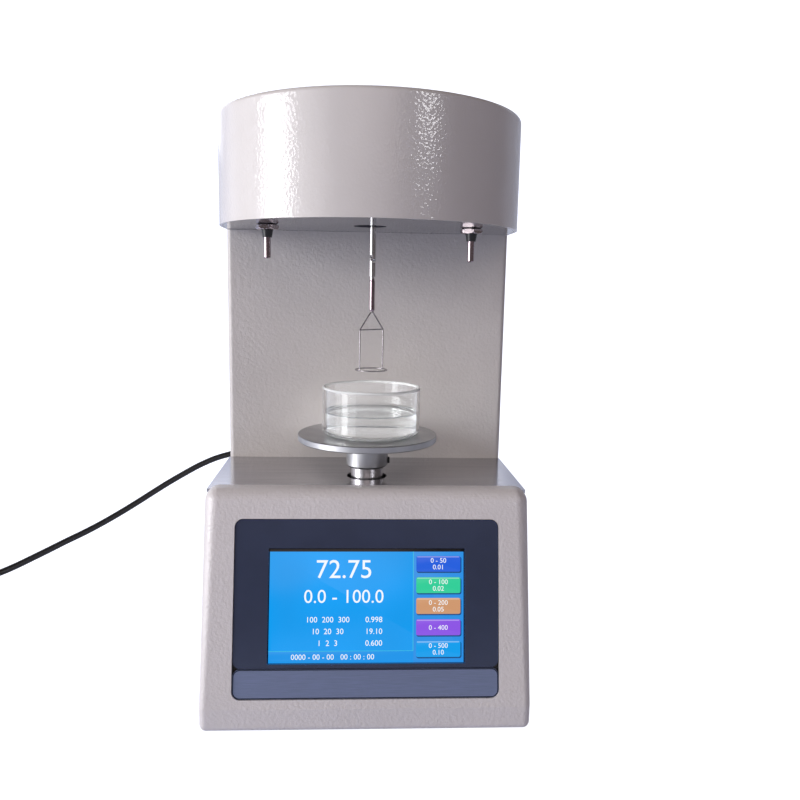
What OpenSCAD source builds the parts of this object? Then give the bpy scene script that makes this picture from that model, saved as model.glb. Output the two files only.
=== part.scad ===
// Ring-method surface tensiometer: a balance head over a motor-lifted sample
// tray, on a slanted console with a touch screen.
// Millimetres. Z is up, the console faces -Y, and the origin is the middle of
// the footprint at the bottom of the feet.

/* [Casing] */
// Width of console, column and head
body_w = 185; // [178:1:195]
// Front of the console and back of the instrument, from the middle
half_depth = 130; // [126:1:136]
// Height of the rubber feet
foot_h = 10; // [8:1:14]
// Thickness of the painted sheet
wall = 2; // [1.5:0.5:2.5]
// Height of the steel deck
deck_z = 139; // [136:1:142]
// Height of the underside of the head
under_z = 290.5; // [285:0.5:300]
// Height of the top of the head
top_z = 355.5; // [345:0.5:365]
// Where the front face of the column stands
column_y = -9.5; // [-14:0.5:-6]
// Centre of the head's round front
head_cy = -28; // [-32:1:-24]

/* [Console face] */
// Lean of the console face from upright, in degrees
face_tilt = 13; // [10:1:16]
// Height where the upright band below the face ends
bend_z = 24; // [20:1:28]
// Radius of the rolled top edge
roll_r = 8; // [6:0.5:10]
// Height of the rolled edge above the deck
lip_h = 2.5; // [1:0.5:4]
// Radius of the console's side edges
edge_r = 4; // [3:0.5:5]
// Width of the window in the face
window_w = 149; // [140:1:152]
// Lower edge of the window, up the face from the bend
window_s0 = 5; // [4:0.5:8]
// Upper edge of the window
window_s1 = 104.3; // [98:0.1:106]
// Upper edge of the name plate
plate_s1 = 21.4; // [18:0.1:24]
// Lit area of the screen, wide
screen_w = 109; // [104:0.5:112]
// Lit area of the screen, high
screen_h = 62.4; // [58:0.1:66]
// Middle of the screen up the face
screen_s = 56; // [52:0.5:60]

/* [Measuring bay] */
// Distance of the lift's axis in front of the middle
lift_y = -59.5; // [-64:0.5:-56]
// Diameter of the sample tray
tray_d = 85.2; // [80:0.2:90]
// Height of the top of the tray
tray_z = 166; // [164:0.5:168]
// Outside diameter of the glass dish
dish_d = 59.8; // [55:0.2:62]
// Height of the glass dish
dish_h = 29; // [25:0.5:30]
// Sideways place of the dish
dish_x = 2.2; // [0:0.1:3]
// Diameter of the lift stem
stem_d = 19.8; // [18:0.2:20]
// Lead of the lift screw, one turn
screw_lead = 2; // [1:1:4]

/* [Ring] */
// Mean diameter of the measuring ring
ring_d = 19.1; // [18:0.1:20]
// Wire of the ring and its stirrup
ring_wire = 0.8; // [0.4:0.1:0.8]
// Height of the ring
ring_z = 205.2; // [203:0.2:210]
// Turn of the stirrup about the vertical
stirrup_turn = 42; // [0:1:90]
// Sideways place of the hook and the balance
hook_x = 1.8; // [0:0.1:3]
// Height of the pin that the ring hangs from
hook_z = 271.6; // [268:0.2:275]

/* [Mains lead] */
// Diameter of the lead
cord_d = 5.5; // [5:0.1:6]

/* [Hidden] */
$fn = 64;

front_y = -half_depth;
panel_y = half_depth - 5.5;     // inner face of the rear panel
panel_t = 2;
half_w = body_w / 2;
lip_z = deck_z + lip_h;
deck_t = 2;
gap = 0.1;                      // clearance between seated faces
// the rolled edge's centre, from a face plane that leans back from the bend
face_k = -front_y * cos(face_tilt) + bend_z * sin(face_tilt);
roll_z = lip_z - roll_r;
roll_y = -(face_k - roll_r - roll_z * sin(face_tilt)) / cos(face_tilt);
bend_cz = (face_k - edge_r + (front_y + edge_r) * cos(face_tilt)) / sin(face_tilt);
deck_y0 = roll_y + 4.5;         // front edge of the deck, under the rolled edge
pan_z = foot_h + 1;
pan_t = 1.5;
flange_t = 3;                   // depth of the flanges that the rear panel is screwed to

// display module, in its own plane
glass_w = 119;
glass_h = 71;

// balance, hung over the bay
beam_z = 322;
pivot_y = 0;
coil_y = 40;
weight_y = 70;
sensor_y = 92;

// lift
motor_top = 51;
nut_z = 60;
hub_z = 145.5;
guide_x = 30;

// socket, switch and mains lead
inlet_x = -55;
inlet_z = 100;
switch_x = 0;
rocker_lean = 8;
rocker_half = 4.4;               // half its height
rocker_out = (5.5 - rocker_half * sin(rocker_lean)) / cos(rocker_lean);
cord_r = cord_d / 2;
lead_y = 185;                   // where the lead leaves its connector's sleeve
coil_c = [-380, 114];
coil_r_in = 20.5;
coil_pitch = 5.95;
coil_a0 = -50;
coil_turns = 7 + 130 / 360;
coil_mid = coil_turns / 2;       // where the spiral turns from inwards to outwards
coil_r_out = coil_r_in + coil_pitch * coil_mid;
plug_z = 15;
coil_z2 = cord_r + coil_pitch;
coil_rings = 24;
plug_xy = [coil_c[0] - coil_r_out, coil_c[1] + cord_d];
// the lead's free run, from the connector to the table
lead_route = [
  [-55, 185, 100], [-55, 191, 100], [-58.5, 203.5, 99.8], [-68, 212.5, 99.2],
  [-82, 215.5, 98], [-98, 215.5, 96.2], [-114, 214, 93.6], [-129, 212, 90.4],
  [-143, 210, 86.4], [-158, 207, 80], [-173, 203, 72], [-188, 198, 63.5],
  [-202, 192, 55], [-216, 185, 46.6], [-229.5, 178, 39], [-242.5, 170, 32.4],
  [-255, 162, 26.8], [-267.5, 154, 21.8], [-279, 146, 17], [-291, 138.5, 12],
  [-302.5, 131, 7.4], [-313, 123, 4.2], [-323, 113, 3], [-333, 102.5, 2.8],
  [-341, 93.5, 2.75]
];

paint = [0.83, 0.83, 0.80];
steel = [0.62, 0.62, 0.64];
dark = [0.12, 0.12, 0.13];

// ---------------------------------------------------------------- helpers

function unit(v) = v / norm(v);

// Rings of points around a path, for a tube that never turns straight up.
function tube_ring(p, dir, r, sides) =
  let (side = unit(cross(dir, [0, 0, 1])), up = cross(side, dir))
  [for (k = [0:sides - 1]) p + r * (cos(360 * k / sides + 90) * side + sin(360 * k / sides + 90) * up)];

function path_dir(path, i) = unit(path[min(i + 1, len(path) - 1)] - path[max(i - 1, 0)]);

module tube(path, r, sides) {
  n = len(path);
  points = [for (i = [0:n - 1]) each tube_ring(path[i], path_dir(path, i), r, sides)];
  walls = [
    for (i = [0:n - 2]) for (k = [0:sides - 1])
      let (a = i * sides + k, b = i * sides + (k + 1) % sides)
      each [[a, b, b + sides], [a, b + sides, a + sides]]
  ];
  first = [for (k = [1:sides - 2]) [0, k + 1, k]];
  last = [for (k = [1:sides - 2]) [(n - 1) * sides, (n - 1) * sides + k, (n - 1) * sides + k + 1]];
  polyhedron(points = points, faces = concat(walls, first, last));
}

// Flat rectangle with round corners, centred.
module round_rect(w, h, r) {
  square([w - 2 * r, h], center = true);
  square([w, h - 2 * r], center = true);
  for (sx = [-1, 1]) for (sy = [-1, 1])
    translate([sx * (w / 2 - r), sy * (h / 2 - r)]) circle(r = r);
}

module plate(w, h, r, t) {
  linear_extrude(t) round_rect(w, h, r);
}

module ring_solid(r_out, r_in, h) {
  difference() {
    cylinder(r = r_out, h = h);
    translate([0, 0, -1]) cylinder(r = r_in, h = h + 2);
  }
}

// Children stand on the leaning face: X across, Y up the face, Z out of it.
module on_face(s = 0, out = 0) {
  translate([0, front_y, bend_z]) rotate([90 - face_tilt, 0, 0]) translate([0, s, out]) children();
}

// Children lie in the rear panel: X across, Y up, Z into the instrument.
module on_rear(x, z, y = 0) {
  translate([x, y, z]) rotate([90, 0, 0]) children();
}

// ---------------------------------------------------------------- casing

// Solid form of the console, drawn in from its outer skin by some depth.
module console_form(inset) {
  low = inset > 0 ? 14 : 0;     // the inside runs out through the open bottom
  hull() {
    for (s = [-1, 1]) {
      translate([s * (half_w - roll_r), roll_y, roll_z]) sphere(r = roll_r - inset, $fn = 48);
      translate([s * (half_w - edge_r), front_y + edge_r, bend_cz]) sphere(r = edge_r - inset, $fn = 32);
      translate([s * (half_w - edge_r), front_y + edge_r, foot_h + edge_r - low])
        sphere(r = edge_r - inset, $fn = 32);
    }
    translate([-half_w + inset, column_y - gap - 1, foot_h - low])
      cube([body_w - 2 * inset, 6, lip_z - inset - foot_h + low]);
  }
}

module front_shell() {
  color(paint) difference() {
    console_form(0);
    console_form(wall);
    // seat of the deck
    translate([-half_w - 1, deck_y0, deck_z - deck_t - gap]) cube([body_w + 2, 200, 20]);
    translate([-half_w - 1, column_y - gap, 0]) cube([body_w + 2, 20, 200]);
    on_face((window_s0 + window_s1) / 2, -9) plate(window_w, window_s1 - window_s0, 4.8, 14);
  }
}

module deck_plate() {
  color([0.5, 0.5, 0.52]) difference() {
    translate([-half_w, deck_y0 + gap, deck_z - deck_t])
      cube([body_w, column_y - gap - deck_y0 - 0.2, deck_t]);
    translate([0, lift_y, deck_z - 5]) cylinder(d = 24.6, h = 10);
  }
}

// Channel of bent sheet, seen from above, open towards the back.
module channel(inset, y1) {
  r = max(3 - inset, 0.6);
  y0 = column_y + inset;
  w = half_w - inset;
  translate([-w, y0 + r]) square([2 * w, y1 - y0 - r]);
  translate([-w + r, y0]) square([2 * (w - r), 2 * r]);
  for (s = [-1, 1]) translate([s * (w - r), y0 + r]) circle(r = r);
}

module column_shell() {
  color(paint) difference() {
    translate([0, 0, foot_h]) linear_extrude(under_z - foot_h - 0.05) difference() {
      channel(0, panel_y - gap);
      channel(wall, panel_y - flange_t);
      translate([-half_w + 12, panel_y - 20]) square([body_w - 24, 30]);
    }
    // passage from the column into the console
    translate([-80, column_y - 5, pan_z]) cube([160, 12, deck_z - pan_z - 9]);
    translate([-half_w + wall + gap, column_y - 5, foot_h - 1]) cube([body_w - 2 * wall - 2 * gap, 12, 12]);
    for (s = [-1, 1]) for (z = screw_heights) on_rear(s * screw_x, z, panel_y + 5) cylinder(d = 2.8, h = 12);
  }
}

screw_x = half_w - 7;
screw_heights = [28, 108, 192, 276, 346];

// Round front and straight sides of the head, seen from above.
module head_outline(inset, y1) {
  r = half_w - inset;
  intersection() {
    translate([0, head_cy]) circle(r = r, $fn = 128);
    translate([-200, -300 + head_cy]) square([400, 300.01]);
  }
  translate([-r, head_cy]) square([2 * r, y1 - head_cy]);
}

head_edge = 2.4;                // radius of the head's top edge

// Section of the head's wall and top, from the axis outwards.
module head_section(inset) {
  r = half_w - inset;
  e = max(head_edge - inset, 0.8);
  z1 = top_z - inset;
  z0 = inset > 0 ? under_z - 5 : under_z;
  translate([0, z0]) square([r, z1 - e - z0]);
  translate([0, z1 - e - 0.1]) square([r - e, e + 0.1]);
  translate([r - e, z1 - e]) circle(r = e);
}

module head_form(inset, y1) {
  translate([0, head_cy, 0]) rotate_extrude(angle = 180, start = 180, $fn = 128) head_section(inset);
  translate([0, head_cy, 0]) rotate([90, 0, 180]) linear_extrude(y1 - head_cy) {
    head_section(inset);
    mirror([1, 0]) head_section(inset);
  }
}

module head_shell() {
  color(paint) difference() {
    union() {
      difference() {
        head_form(0, panel_y - gap);
        head_form(wall, panel_y + 5);
      }
      // flanges that the rear panel is screwed to
      for (s = [-1, 1]) translate([s * (half_w - 7.5) - 6, panel_y - flange_t, under_z + 3])
        cube([12, flange_t - gap, top_z - under_z - 4]);
    }
    for (s = [-1, 1]) on_rear(s * screw_x, screw_heights[4], panel_y + 5) cylinder(d = 2.8, h = 12);
  }
}

module head_floor() {
  color(paint * 0.9) difference() {
    translate([0, 0, under_z]) linear_extrude(2) head_outline(wall + 0.2, panel_y - flange_t - gap);
    translate([0, lift_y, under_z - 2]) cylinder(d = 19.4, h = 8);
    for (s = [-1, 1]) translate([s * post_x, lift_y, under_z - 2]) cylinder(d = 8.2, h = 8);
    // cable way down into the column
    translate([-30, 106, under_z - 2]) cube([60, 11, 8]);
  }
}

vent_rows = [150, 156, 162, 168, 174, 180, 210, 216, 222, 228, 234, 240];

module rear_panel() {
  color(paint) difference() {
    on_rear(0, (foot_h + top_z) / 2, panel_y + panel_t)
      plate(body_w, top_z - foot_h, 2.4, panel_t);
    on_rear(inlet_x, inlet_z, panel_y + 6) plate(28.4, 20.9, 2, 10);
    on_rear(switch_x, inlet_z, panel_y + 6) plate(19.4, 13.2, 0.8, 10);
    for (z = vent_rows) on_rear(0, z, panel_y + 6) plate(90, 2.6, 1.2, 10);
    for (s = [-1, 1]) for (z = screw_heights) on_rear(s * screw_x, z, panel_y + 6) cylinder(d = 3.3, h = 10);
  }
}

module case_screws() {
  color(steel) for (s = [-1, 1]) for (z = screw_heights)
    on_rear(s * screw_x, z, panel_y + panel_t) {
      translate([0, 0, -1.8]) intersection() {
        cylinder(d = 5.6, h = 1.8);
        translate([0, 0, 3.4]) sphere(r = 3.8);
      }
      cylinder(d = 2.7, h = 7);
    }
}

module base_pan() {
  y0 = front_y + wall + 0.6;
  y1 = panel_y - flange_t - 0.3;
  color(steel) difference() {
    translate([0, (y0 + y1) / 2, pan_z]) difference() {
      plate(body_w - 2 * wall - 0.6, y1 - y0, 4, 8);
      translate([0, 0, pan_t]) plate(body_w - 2 * wall - 3.6, y1 - y0 - 3, 2.5, 10);
    }
    for (s = [-1, 1]) for (y = foot_ys) translate([s * foot_x, y, pan_z - 1]) cylinder(d = 5.2, h = 4);
  }
}

foot_x = 70;
foot_ys = [-92, 100];

module foot(x, y) {
  translate([x, y, 0]) color(dark) difference() {
    rotate_extrude() {
      polygon([[0, 0], [9.2, 0], [10.4, 1.2], [11, pan_z - 2.2], [10.4, pan_z - gap], [0, pan_z - gap]]);
      translate([0, pan_z - gap]) square([2.5, 4]);
    }
    translate([0, 0, -1]) cylinder(d = 5, h = 4);
  }
}

module foot_front_left() { foot(-foot_x, foot_ys[0]); }
module foot_front_right() { foot(foot_x, foot_ys[0]); }
module foot_rear_left() { foot(-foot_x, foot_ys[1]); }
module foot_rear_right() { foot(foot_x, foot_ys[1]); }

// ---------------------------------------------------------------- console face

module panel_frame() {
  s_mid = (window_s0 + window_s1) / 2;
  color(dark) difference() {
    union() {
      on_face(s_mid, -5.6) plate(window_w + 9, window_s1 - window_s0 + 8, 3, 2);
      on_face(s_mid, -5.6) difference() {
        plate(window_w + 9, window_s1 - window_s0 + 8, 3, 3.4);
        translate([0, 0, -1]) plate(window_w + 0.4, window_s1 - window_s0 + 0.4, 4.9, 8);
      }
      for (sx = [-1, 1]) for (sy = [-1, 1])
        on_face(screen_s + sy * 39, -13.4) translate([sx * 57, 0, 0]) cylinder(d = 5, h = 8);
    }
    on_face(screen_s, -20) plate(glass_w + 0.6, glass_h + 0.6, 1, 30);
  }
}

module display_bezel() {
  s0 = plate_s1 + 0.5;
  color([0.13, 0.15, 0.22]) difference() {
    on_face((s0 + window_s1 - 0.3) / 2, -3.5) plate(window_w - 0.6, window_s1 - 0.3 - s0, 4.5, 2.9);
    on_face(screen_s, -6) plate(screen_w + 1.6, screen_h + 1.4, 0.5, 10);
  }
}

module name_plate() {
  s0 = window_s0 + 0.3;
  color([0.38, 0.43, 0.53]) on_face((s0 + plate_s1) / 2, -3.5)
    plate(window_w - 0.6, plate_s1 - s0, 3.9, 2.7);
}

module touch_screen() {
  color([0.1, 0.5, 0.95]) on_face(screen_s, -5.1) plate(glass_w, glass_h, 0.8, 1.5);
}

module display_module() {
  color(steel) on_face(screen_s, -12) difference() {
    plate(glass_w, glass_h, 0.6, 6.8);
    translate([0, 0, -1]) plate(glass_w - 11, glass_h - 11, 0.6, 3);
  }
}

module display_board() {
  color([0.1, 0.35, 0.2]) on_face(screen_s, -15.1) {
    plate(122, 84, 1.5, 1.6);
    translate([-20, 5, -2.4]) cube([14, 14, 2.5]);
    translate([15, -8, -1.8]) cube([20, 8, 1.9]);
    translate([-45, -30, -6]) cube([18, 8, 6.1]);
  }
}

// ---------------------------------------------------------------- posts under the head

post_x = 60.5;

module post_pins() {
  color(steel) for (s = [-1, 1]) translate([s * post_x, lift_y, 270.8]) rotate_extrude()
    polygon([[0, 0], [1.5, 0], [2, 0.6], [2, 30], [0, 30]]);
}

module post_bushes() {
  color(dark) for (s = [-1, 1]) translate([s * post_x, lift_y, 0]) rotate_extrude()
    polygon([[2.05, 282.9], [2.7, 282.9], [3.5, 287.2], [4, 287.3], [4, 292.6], [6, 292.6],
             [6, 295.4], [2.05, 295.4]]);
}

module post_nuts() {
  color(steel) for (s = [-1, 1]) translate([s * post_x, lift_y, under_z - 3.05]) rotate([0, 0, 12]) difference() {
    intersection() {
      cylinder(d = 13.86, h = 3, $fn = 6);
      rotate_extrude() polygon([[0, 0], [6.1, 0], [7.3, 0.7], [7.3, 3], [0, 3]]);
    }
    translate([0, 0, -1]) cylinder(r = 4.04, h = 6);
  }
}

// ---------------------------------------------------------------- balance

module at_balance(y, z) {
  translate([hook_x, y, z]) children();
}

module balance_base() {
  color([0.75, 0.75, 0.77]) difference() {
    at_balance(35, under_z + 2.3) plate(64, 136, 4, 6);
    at_balance(-18, under_z) plate(24, 12, 3, 20);
    at_balance(coil_y, under_z) cylinder(d = 8, h = 20);
  }
}

base_top = under_z + 8.3;

module pivot_frame() {
  color([0.7, 0.7, 0.72]) difference() {
    union() {
      at_balance(pivot_y, base_top) translate([-15, -11, 0]) cube([30, 22, 4]);
      for (s = [-1, 1]) at_balance(pivot_y, base_top) translate([s * 10, 0, 0]) hull() {
        translate([-2.5, -10, 0]) cube([5, 20, 1]);
        translate([-2.5, -5, beam_z - base_top + 5]) cube([5, 10, 1]);
      }
    }
    at_balance(pivot_y, beam_z) rotate([0, 90, 0]) cylinder(r = 2.02, h = 60, center = true);
  }
}

module pivot_pin() {
  color(steel) at_balance(pivot_y, beam_z) rotate([0, 90, 0]) cylinder(r = 2, h = 26, center = true);
}

module balance_beam() {
  color([0.78, 0.78, 0.8]) difference() {
    union() {
      at_balance((lift_y + coil_y) / 2 - 1, beam_z - 4) translate([0, 0, 4])
        cube([9, coil_y - lift_y + 8, 8], center = true);
      at_balance(pivot_y, beam_z) rotate([0, 90, 0]) cylinder(r = 6.5, h = 9, center = true);
      at_balance(coil_y, beam_z) rotate([-90, 0, 0]) cylinder(d = 4, h = sensor_y - 7 - coil_y);
      at_balance(sensor_y - 2, beam_z) cube([0.8, 12, 9], center = true);
    }
    at_balance(pivot_y, beam_z) rotate([0, 90, 0]) cylinder(r = 2.05, h = 40, center = true);
    at_balance(lift_y, beam_z) rotate([0, 90, 0]) cylinder(r = 1.02, h = 40, center = true);
    at_balance(lift_y, beam_z) cube([4.8, 16, 12], center = true);
    // lightening holes
    for (y = [-40, -26, 20]) at_balance(y, beam_z) rotate([0, 90, 0]) cylinder(r = 2.6, h = 40, center = true);
  }
}

module hanger_pin() {
  color(steel) at_balance(lift_y, beam_z) rotate([0, 90, 0]) cylinder(r = 1, h = 9, center = true);
}

module coil_bobbin() {
  color([0.85, 0.8, 0.65]) at_balance(coil_y, 0) difference() {
    union() {
      translate([0, 0, 316.6]) cylinder(r = 17, h = beam_z - 4 - 316.6);
      translate([0, 0, 305.6]) ring_solid(16.2, 15.2, 11.2);
      translate([0, 0, 305.6]) ring_solid(18.8, 15.2, 0.8);
    }
    translate([0, 0, 300]) cylinder(r = 3, h = 30);
  }
}

module coil_winding() {
  color([0.72, 0.4, 0.2]) at_balance(coil_y, 306.5) ring_solid(18.8, 16.25, 7.5);
}

module magnet_pot() {
  color(steel) at_balance(coil_y, base_top) difference() {
    cylinder(r = 26, h = 17);
    translate([0, 0, 5]) cylinder(r = 20.4, h = 20);
  }
}

module magnet_core() {
  color([0.4, 0.4, 0.43]) at_balance(coil_y, base_top + 5.05) {
    cylinder(r = 13, h = 8);
    cylinder(r = 13.6, h = 4);
    translate([0, 0, 8]) cylinder(r = 13.6, h = 3.4);
  }
}

module counterweight() {
  color([0.72, 0.6, 0.3]) at_balance(weight_y, beam_z) rotate([-90, 0, 0]) ring_solid(8, 2.04, 12);
}

module position_sensor() {
  color(dark) at_balance(sensor_y, base_top) difference() {
    translate([-6, -5, 0]) cube([12, 14, beam_z - base_top + 8]);
    translate([-1.8, -6, beam_z - base_top - 9]) cube([3.6, 16, 20]);
  }
}

// ---------------------------------------------------------------- hook and ring

rod_r = 1.85;
rod_z0 = hook_z + 2.3;          // lower end of the rod's full section
holder_z1 = hook_z - 1.4;       // upper end of the holder's full section

// Half of a round bar beside the split, from the pin to some other height.
module tongue(side, r, z) {
  intersection() {
    union() {
      translate([side > 0 ? 0.1 : -2, 0, hook_z]) rotate([0, 90, 0]) cylinder(r = r, h = 1.9);
      translate([side > 0 ? 0.1 : -2, -r, min(z, hook_z)]) cube([1.9, 2 * r, abs(z - hook_z)]);
    }
    translate([0, 0, hook_z - 5]) cylinder(r = rod_r, h = 12);
  }
}

module hanger_rod() {
  color(steel) translate([hook_x, lift_y, 0]) difference() {
    union() {
      translate([0, 0, rod_z0]) cylinder(r = rod_r, h = beam_z - rod_z0);
      translate([0, 0, beam_z]) rotate([0, 90, 0]) cylinder(r = 2.2, h = 4, center = true);
      tongue(1, 1.5, rod_z0 + 0.5);
    }
    translate([0, 0, beam_z]) rotate([0, 90, 0]) cylinder(r = 1.05, h = 20, center = true);
    translate([0, 0, hook_z]) rotate([0, 90, 0]) cylinder(r = 0.52, h = 20, center = true);
  }
}

module hook_pin() {
  color(steel) translate([hook_x, lift_y, hook_z]) rotate([0, 90, 0]) cylinder(r = 0.5, h = 3.2, center = true);
}

holder_z0 = 240.6;

module ring_holder() {
  color(steel) translate([hook_x, lift_y, 0]) difference() {
    union() {
      rotate_extrude() polygon([[0, holder_z0], [1.2, holder_z0], [1.6, holder_z0 + 0.8], [1.6, 258.4],
        [1.35, 258.8], [1.35, 260.6], [rod_r, 261.2], [rod_r, holder_z1], [0, holder_z1]]);
      tongue(-1, 1.3, holder_z1 - 0.5);
    }
    translate([0, 0, hook_z]) rotate([0, 90, 0]) cylinder(r = 0.55, h = 20, center = true);
    // room for the rod's tongue
    translate([-0.05, -4, holder_z1 - 0.7]) cube([4, 8, 8]);
  }
}

module wire(a, b, r) {
  d = b - a;
  translate(a) rotate([0, acos(d[2] / norm(d)), atan2(d[1], d[0])]) cylinder(r = r, h = norm(d));
}

leg_x = ring_d / 2;
bar_z = ring_z + 24.4;

module stirrup() {
  r = ring_wire / 2;
  color(steel) translate([hook_x, lift_y, 0]) rotate([0, 0, stirrup_turn]) {
    for (s = [-1, 1]) {
      wire([s * leg_x, 0, ring_z + r * 0.9], [s * leg_x, 0, bar_z], r);
      wire([s * leg_x, 0, bar_z], [s * 0.7, 0, holder_z0 - 0.35], r);
      translate([s * leg_x, 0, bar_z]) sphere(r = r * 1.25);
    }
    translate([-leg_x, 0, bar_z]) rotate([0, 90, 0]) cylinder(r = r * 0.9, h = ring_d);
    translate([0, 0, holder_z0 - 0.6]) cylinder(r = 1.1, h = 0.55);
  }
}

module ring() {
  color(steel) translate([hook_x, lift_y, ring_z]) rotate_extrude($fn = 96)
    translate([ring_d / 2, 0]) circle(r = ring_wire / 2, $fn = 24);
}

// ---------------------------------------------------------------- lift

module at_lift(z) {
  translate([0, lift_y, z]) children();
}

module lift_motor() {
  z0 = pan_z + 4;
  h = motor_top - z0;
  color(dark) difference() {
    union() {
      at_lift(z0) linear_extrude(h - 0.05) intersection() {
        square(42.3, center = true);
        rotate(45) square(54, center = true);
      }
      at_lift(motor_top - 0.1) cylinder(d = 22, h = 2);
    }
    at_lift(46) cylinder(r = 4.05, h = 20);
  }
}

module motor_bracket() {
  color(steel) difference() {
    union() {
      at_lift(motor_top) translate([-33, -24, 0]) cube([71, 48, 3]);
      for (s = [-1, 1]) at_lift(pan_z + 1.6) translate([s * 31 - 1.5, -22, 0]) {
        cube([3, 44, motor_top - pan_z - 1.6]);
        translate([s > 0 ? 0 : -9, 0, 0]) cube([12, 44, 2]);
      }
    }
    at_lift(40) cylinder(d = 22.4, h = 20);
    for (sx = [-1, 1]) for (sy = [-1, 1])
      at_lift(40) translate([sx * 15.5, sy * 15.5, 0]) cylinder(d = 3.2, h = 20);
  }
}

module lead_screw() {
  color(steel) at_lift(46.1) {
    cylinder(r = 4, h = 81);
    translate([0, 0, 81]) cylinder(r1 = 4, r2 = 3.2, h = 0.8);
  }
}

module lift_nut() {
  color([0.8, 0.65, 0.3]) difference() {
    union() {
      at_lift(nut_z) cylinder(r = 11, h = 3.4);
      at_lift(nut_z) cylinder(r = 5.1, h = 15);
    }
    at_lift(nut_z - 1) cylinder(r = 4.05, h = 30);
    for (a = [45:90:315]) at_lift(nut_z - 1) rotate(a) translate([8, 0, 0]) cylinder(d = 3.4, h = 10);
  }
}

module lift_stem() {
  color([0.8, 0.8, 0.82]) difference() {
    at_lift(nut_z + 3.5) cylinder(d = stem_d, h = 157.4 - nut_z - 3.5);
    at_lift(nut_z) cylinder(r = 5.2, h = 88);
  }
}

module guide_arm() {
  z0 = nut_z + 4;
  color([0.7, 0.7, 0.72]) difference() {
    union() {
      at_lift(z0) cylinder(r = 15, h = 10);
      at_lift(z0) translate([0, -6, 0]) cube([guide_x, 12, 10]);
      at_lift(z0) translate([guide_x, 0, 0]) cylinder(r = 6, h = 10);
    }
    at_lift(z0 - 1) cylinder(r = stem_d / 2 + 0.05, h = 20);
    at_lift(z0 - 1) translate([guide_x, 0, 0]) cylinder(r = 3.05, h = 20);
  }
}

module guide_rod() {
  color(steel) at_lift(motor_top + 3) translate([guide_x, 0, 0]) cylinder(r = 3, h = 78);
}

bush_z = 110;

module stem_bush() {
  color(dark) difference() {
    union() {
      at_lift(bush_z) cylinder(r = 13.9, h = 24);
      at_lift(bush_z + 12) cylinder(r = 18, h = 3);
    }
    at_lift(bush_z - 1) cylinder(r = stem_d / 2 + 0.05, h = 40);
  }
}

module bush_plate() {
  color([0.7, 0.7, 0.72]) difference() {
    at_lift(bush_z + 15.1) translate([2, 0, 0]) plate(86, 54, 4, deck_z - deck_t - gap - bush_z - 15.1);
    at_lift(bush_z) cylinder(r = 14, h = 40);
    at_lift(bush_z) translate([guide_x, 0, 0]) cylinder(r = 3.02, h = 40);
  }
}

module tray_hub() {
  color([0.82, 0.82, 0.84]) difference() {
    at_lift(0) rotate_extrude() polygon([[0, hub_z], [11.6, hub_z], [12.8, hub_z + 1.2],
      [12.8, tray_z - 4.1], [0, tray_z - 4.1]]);
    at_lift(hub_z - 1) cylinder(r = stem_d / 2 + 0.02, h = 157.45 - hub_z + 1);
    at_lift(149) rotate([0, 90, 0]) cylinder(r = 2.05, h = 30);
  }
}

module hub_screw() {
  color(dark) difference() {
    at_lift(149) translate([stem_d / 2 + 0.05, 0, 0]) rotate([0, 90, 0]) cylinder(r = 2, h = 4);
    at_lift(149) translate([12.4, 0, 0]) rotate([0, 90, 0]) cylinder(d = 2.3, h = 6, $fn = 6);
  }
}

module tray() {
  r = tray_d / 2;
  color([0.82, 0.82, 0.84]) at_lift(tray_z - 4) rotate_extrude($fn = 128)
    polygon([[0, 0], [r - 0.5, 0], [r, 0.5], [r, 3.6], [r - 0.4, 4], [0, 4]]);
}

module dish() {
  r = dish_d / 2;
  w = 1.7;
  c = 3.2;                      // bottom corner, outside
  arc = [for (a = [-90:15:0]) [r - c + c * cos(a), c + c * sin(a)]];
  inner = [for (a = [0:-15:-90]) [r - c + (c - w) * cos(a), c + (c - w) * sin(a)]];
  color([0.8, 0.9, 0.95, 0.4]) translate([dish_x, lift_y, tray_z + 0.02]) rotate_extrude($fn = 128) {
    polygon(concat([[0, 0]], arc, [[r, dish_h - 0.8], [r - 0.4, dish_h], [r - w + 0.4, dish_h],
      [r - w, dish_h - 0.8]], inner, [[0, w]]));
  }
}

// ---------------------------------------------------------------- electrics

module main_board() {
  color([0.1, 0.35, 0.2]) {
    translate([12, 12, 24]) cube([68, 96, 1.6]);
    for (x = [16, 76]) for (y = [16, 104]) translate([x, y, pan_z + 1.6]) cylinder(d = 5, h = 24 - pan_z - 1.6);
    translate([30, 40, 25.5]) cube([16, 16, 2.4]);
    translate([56, 30, 25.5]) cube([12, 30, 9]);
    translate([20, 84, 25.5]) cube([40, 9, 10]);
    for (x = [22, 34]) translate([x, 70, 25.5]) cylinder(d = 8, h = 12);
  }
}

module power_supply() {
  color(steel) {
    translate([-80, 10, 22]) difference() {
      cube([54, 86, 30]);
      translate([1.2, 1.2, 1.2]) cube([51.6, 83.6, 40]);
    }
    translate([-78, 12, 26]) cube([50, 82, 1.6]);
    translate([-72, 20, 27.5]) cube([22, 20, 18]);
    translate([-44, 22, 27.5]) cylinder(d = 16, h = 22);
    translate([-70, 58, 27.5]) cube([30, 24, 16]);
    for (x = [-75, -31]) for (y = [16, 90]) translate([x, y, pan_z + 1.6]) cylinder(d = 6, h = 26.1 - pan_z - 1.6);
  }
}

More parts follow.
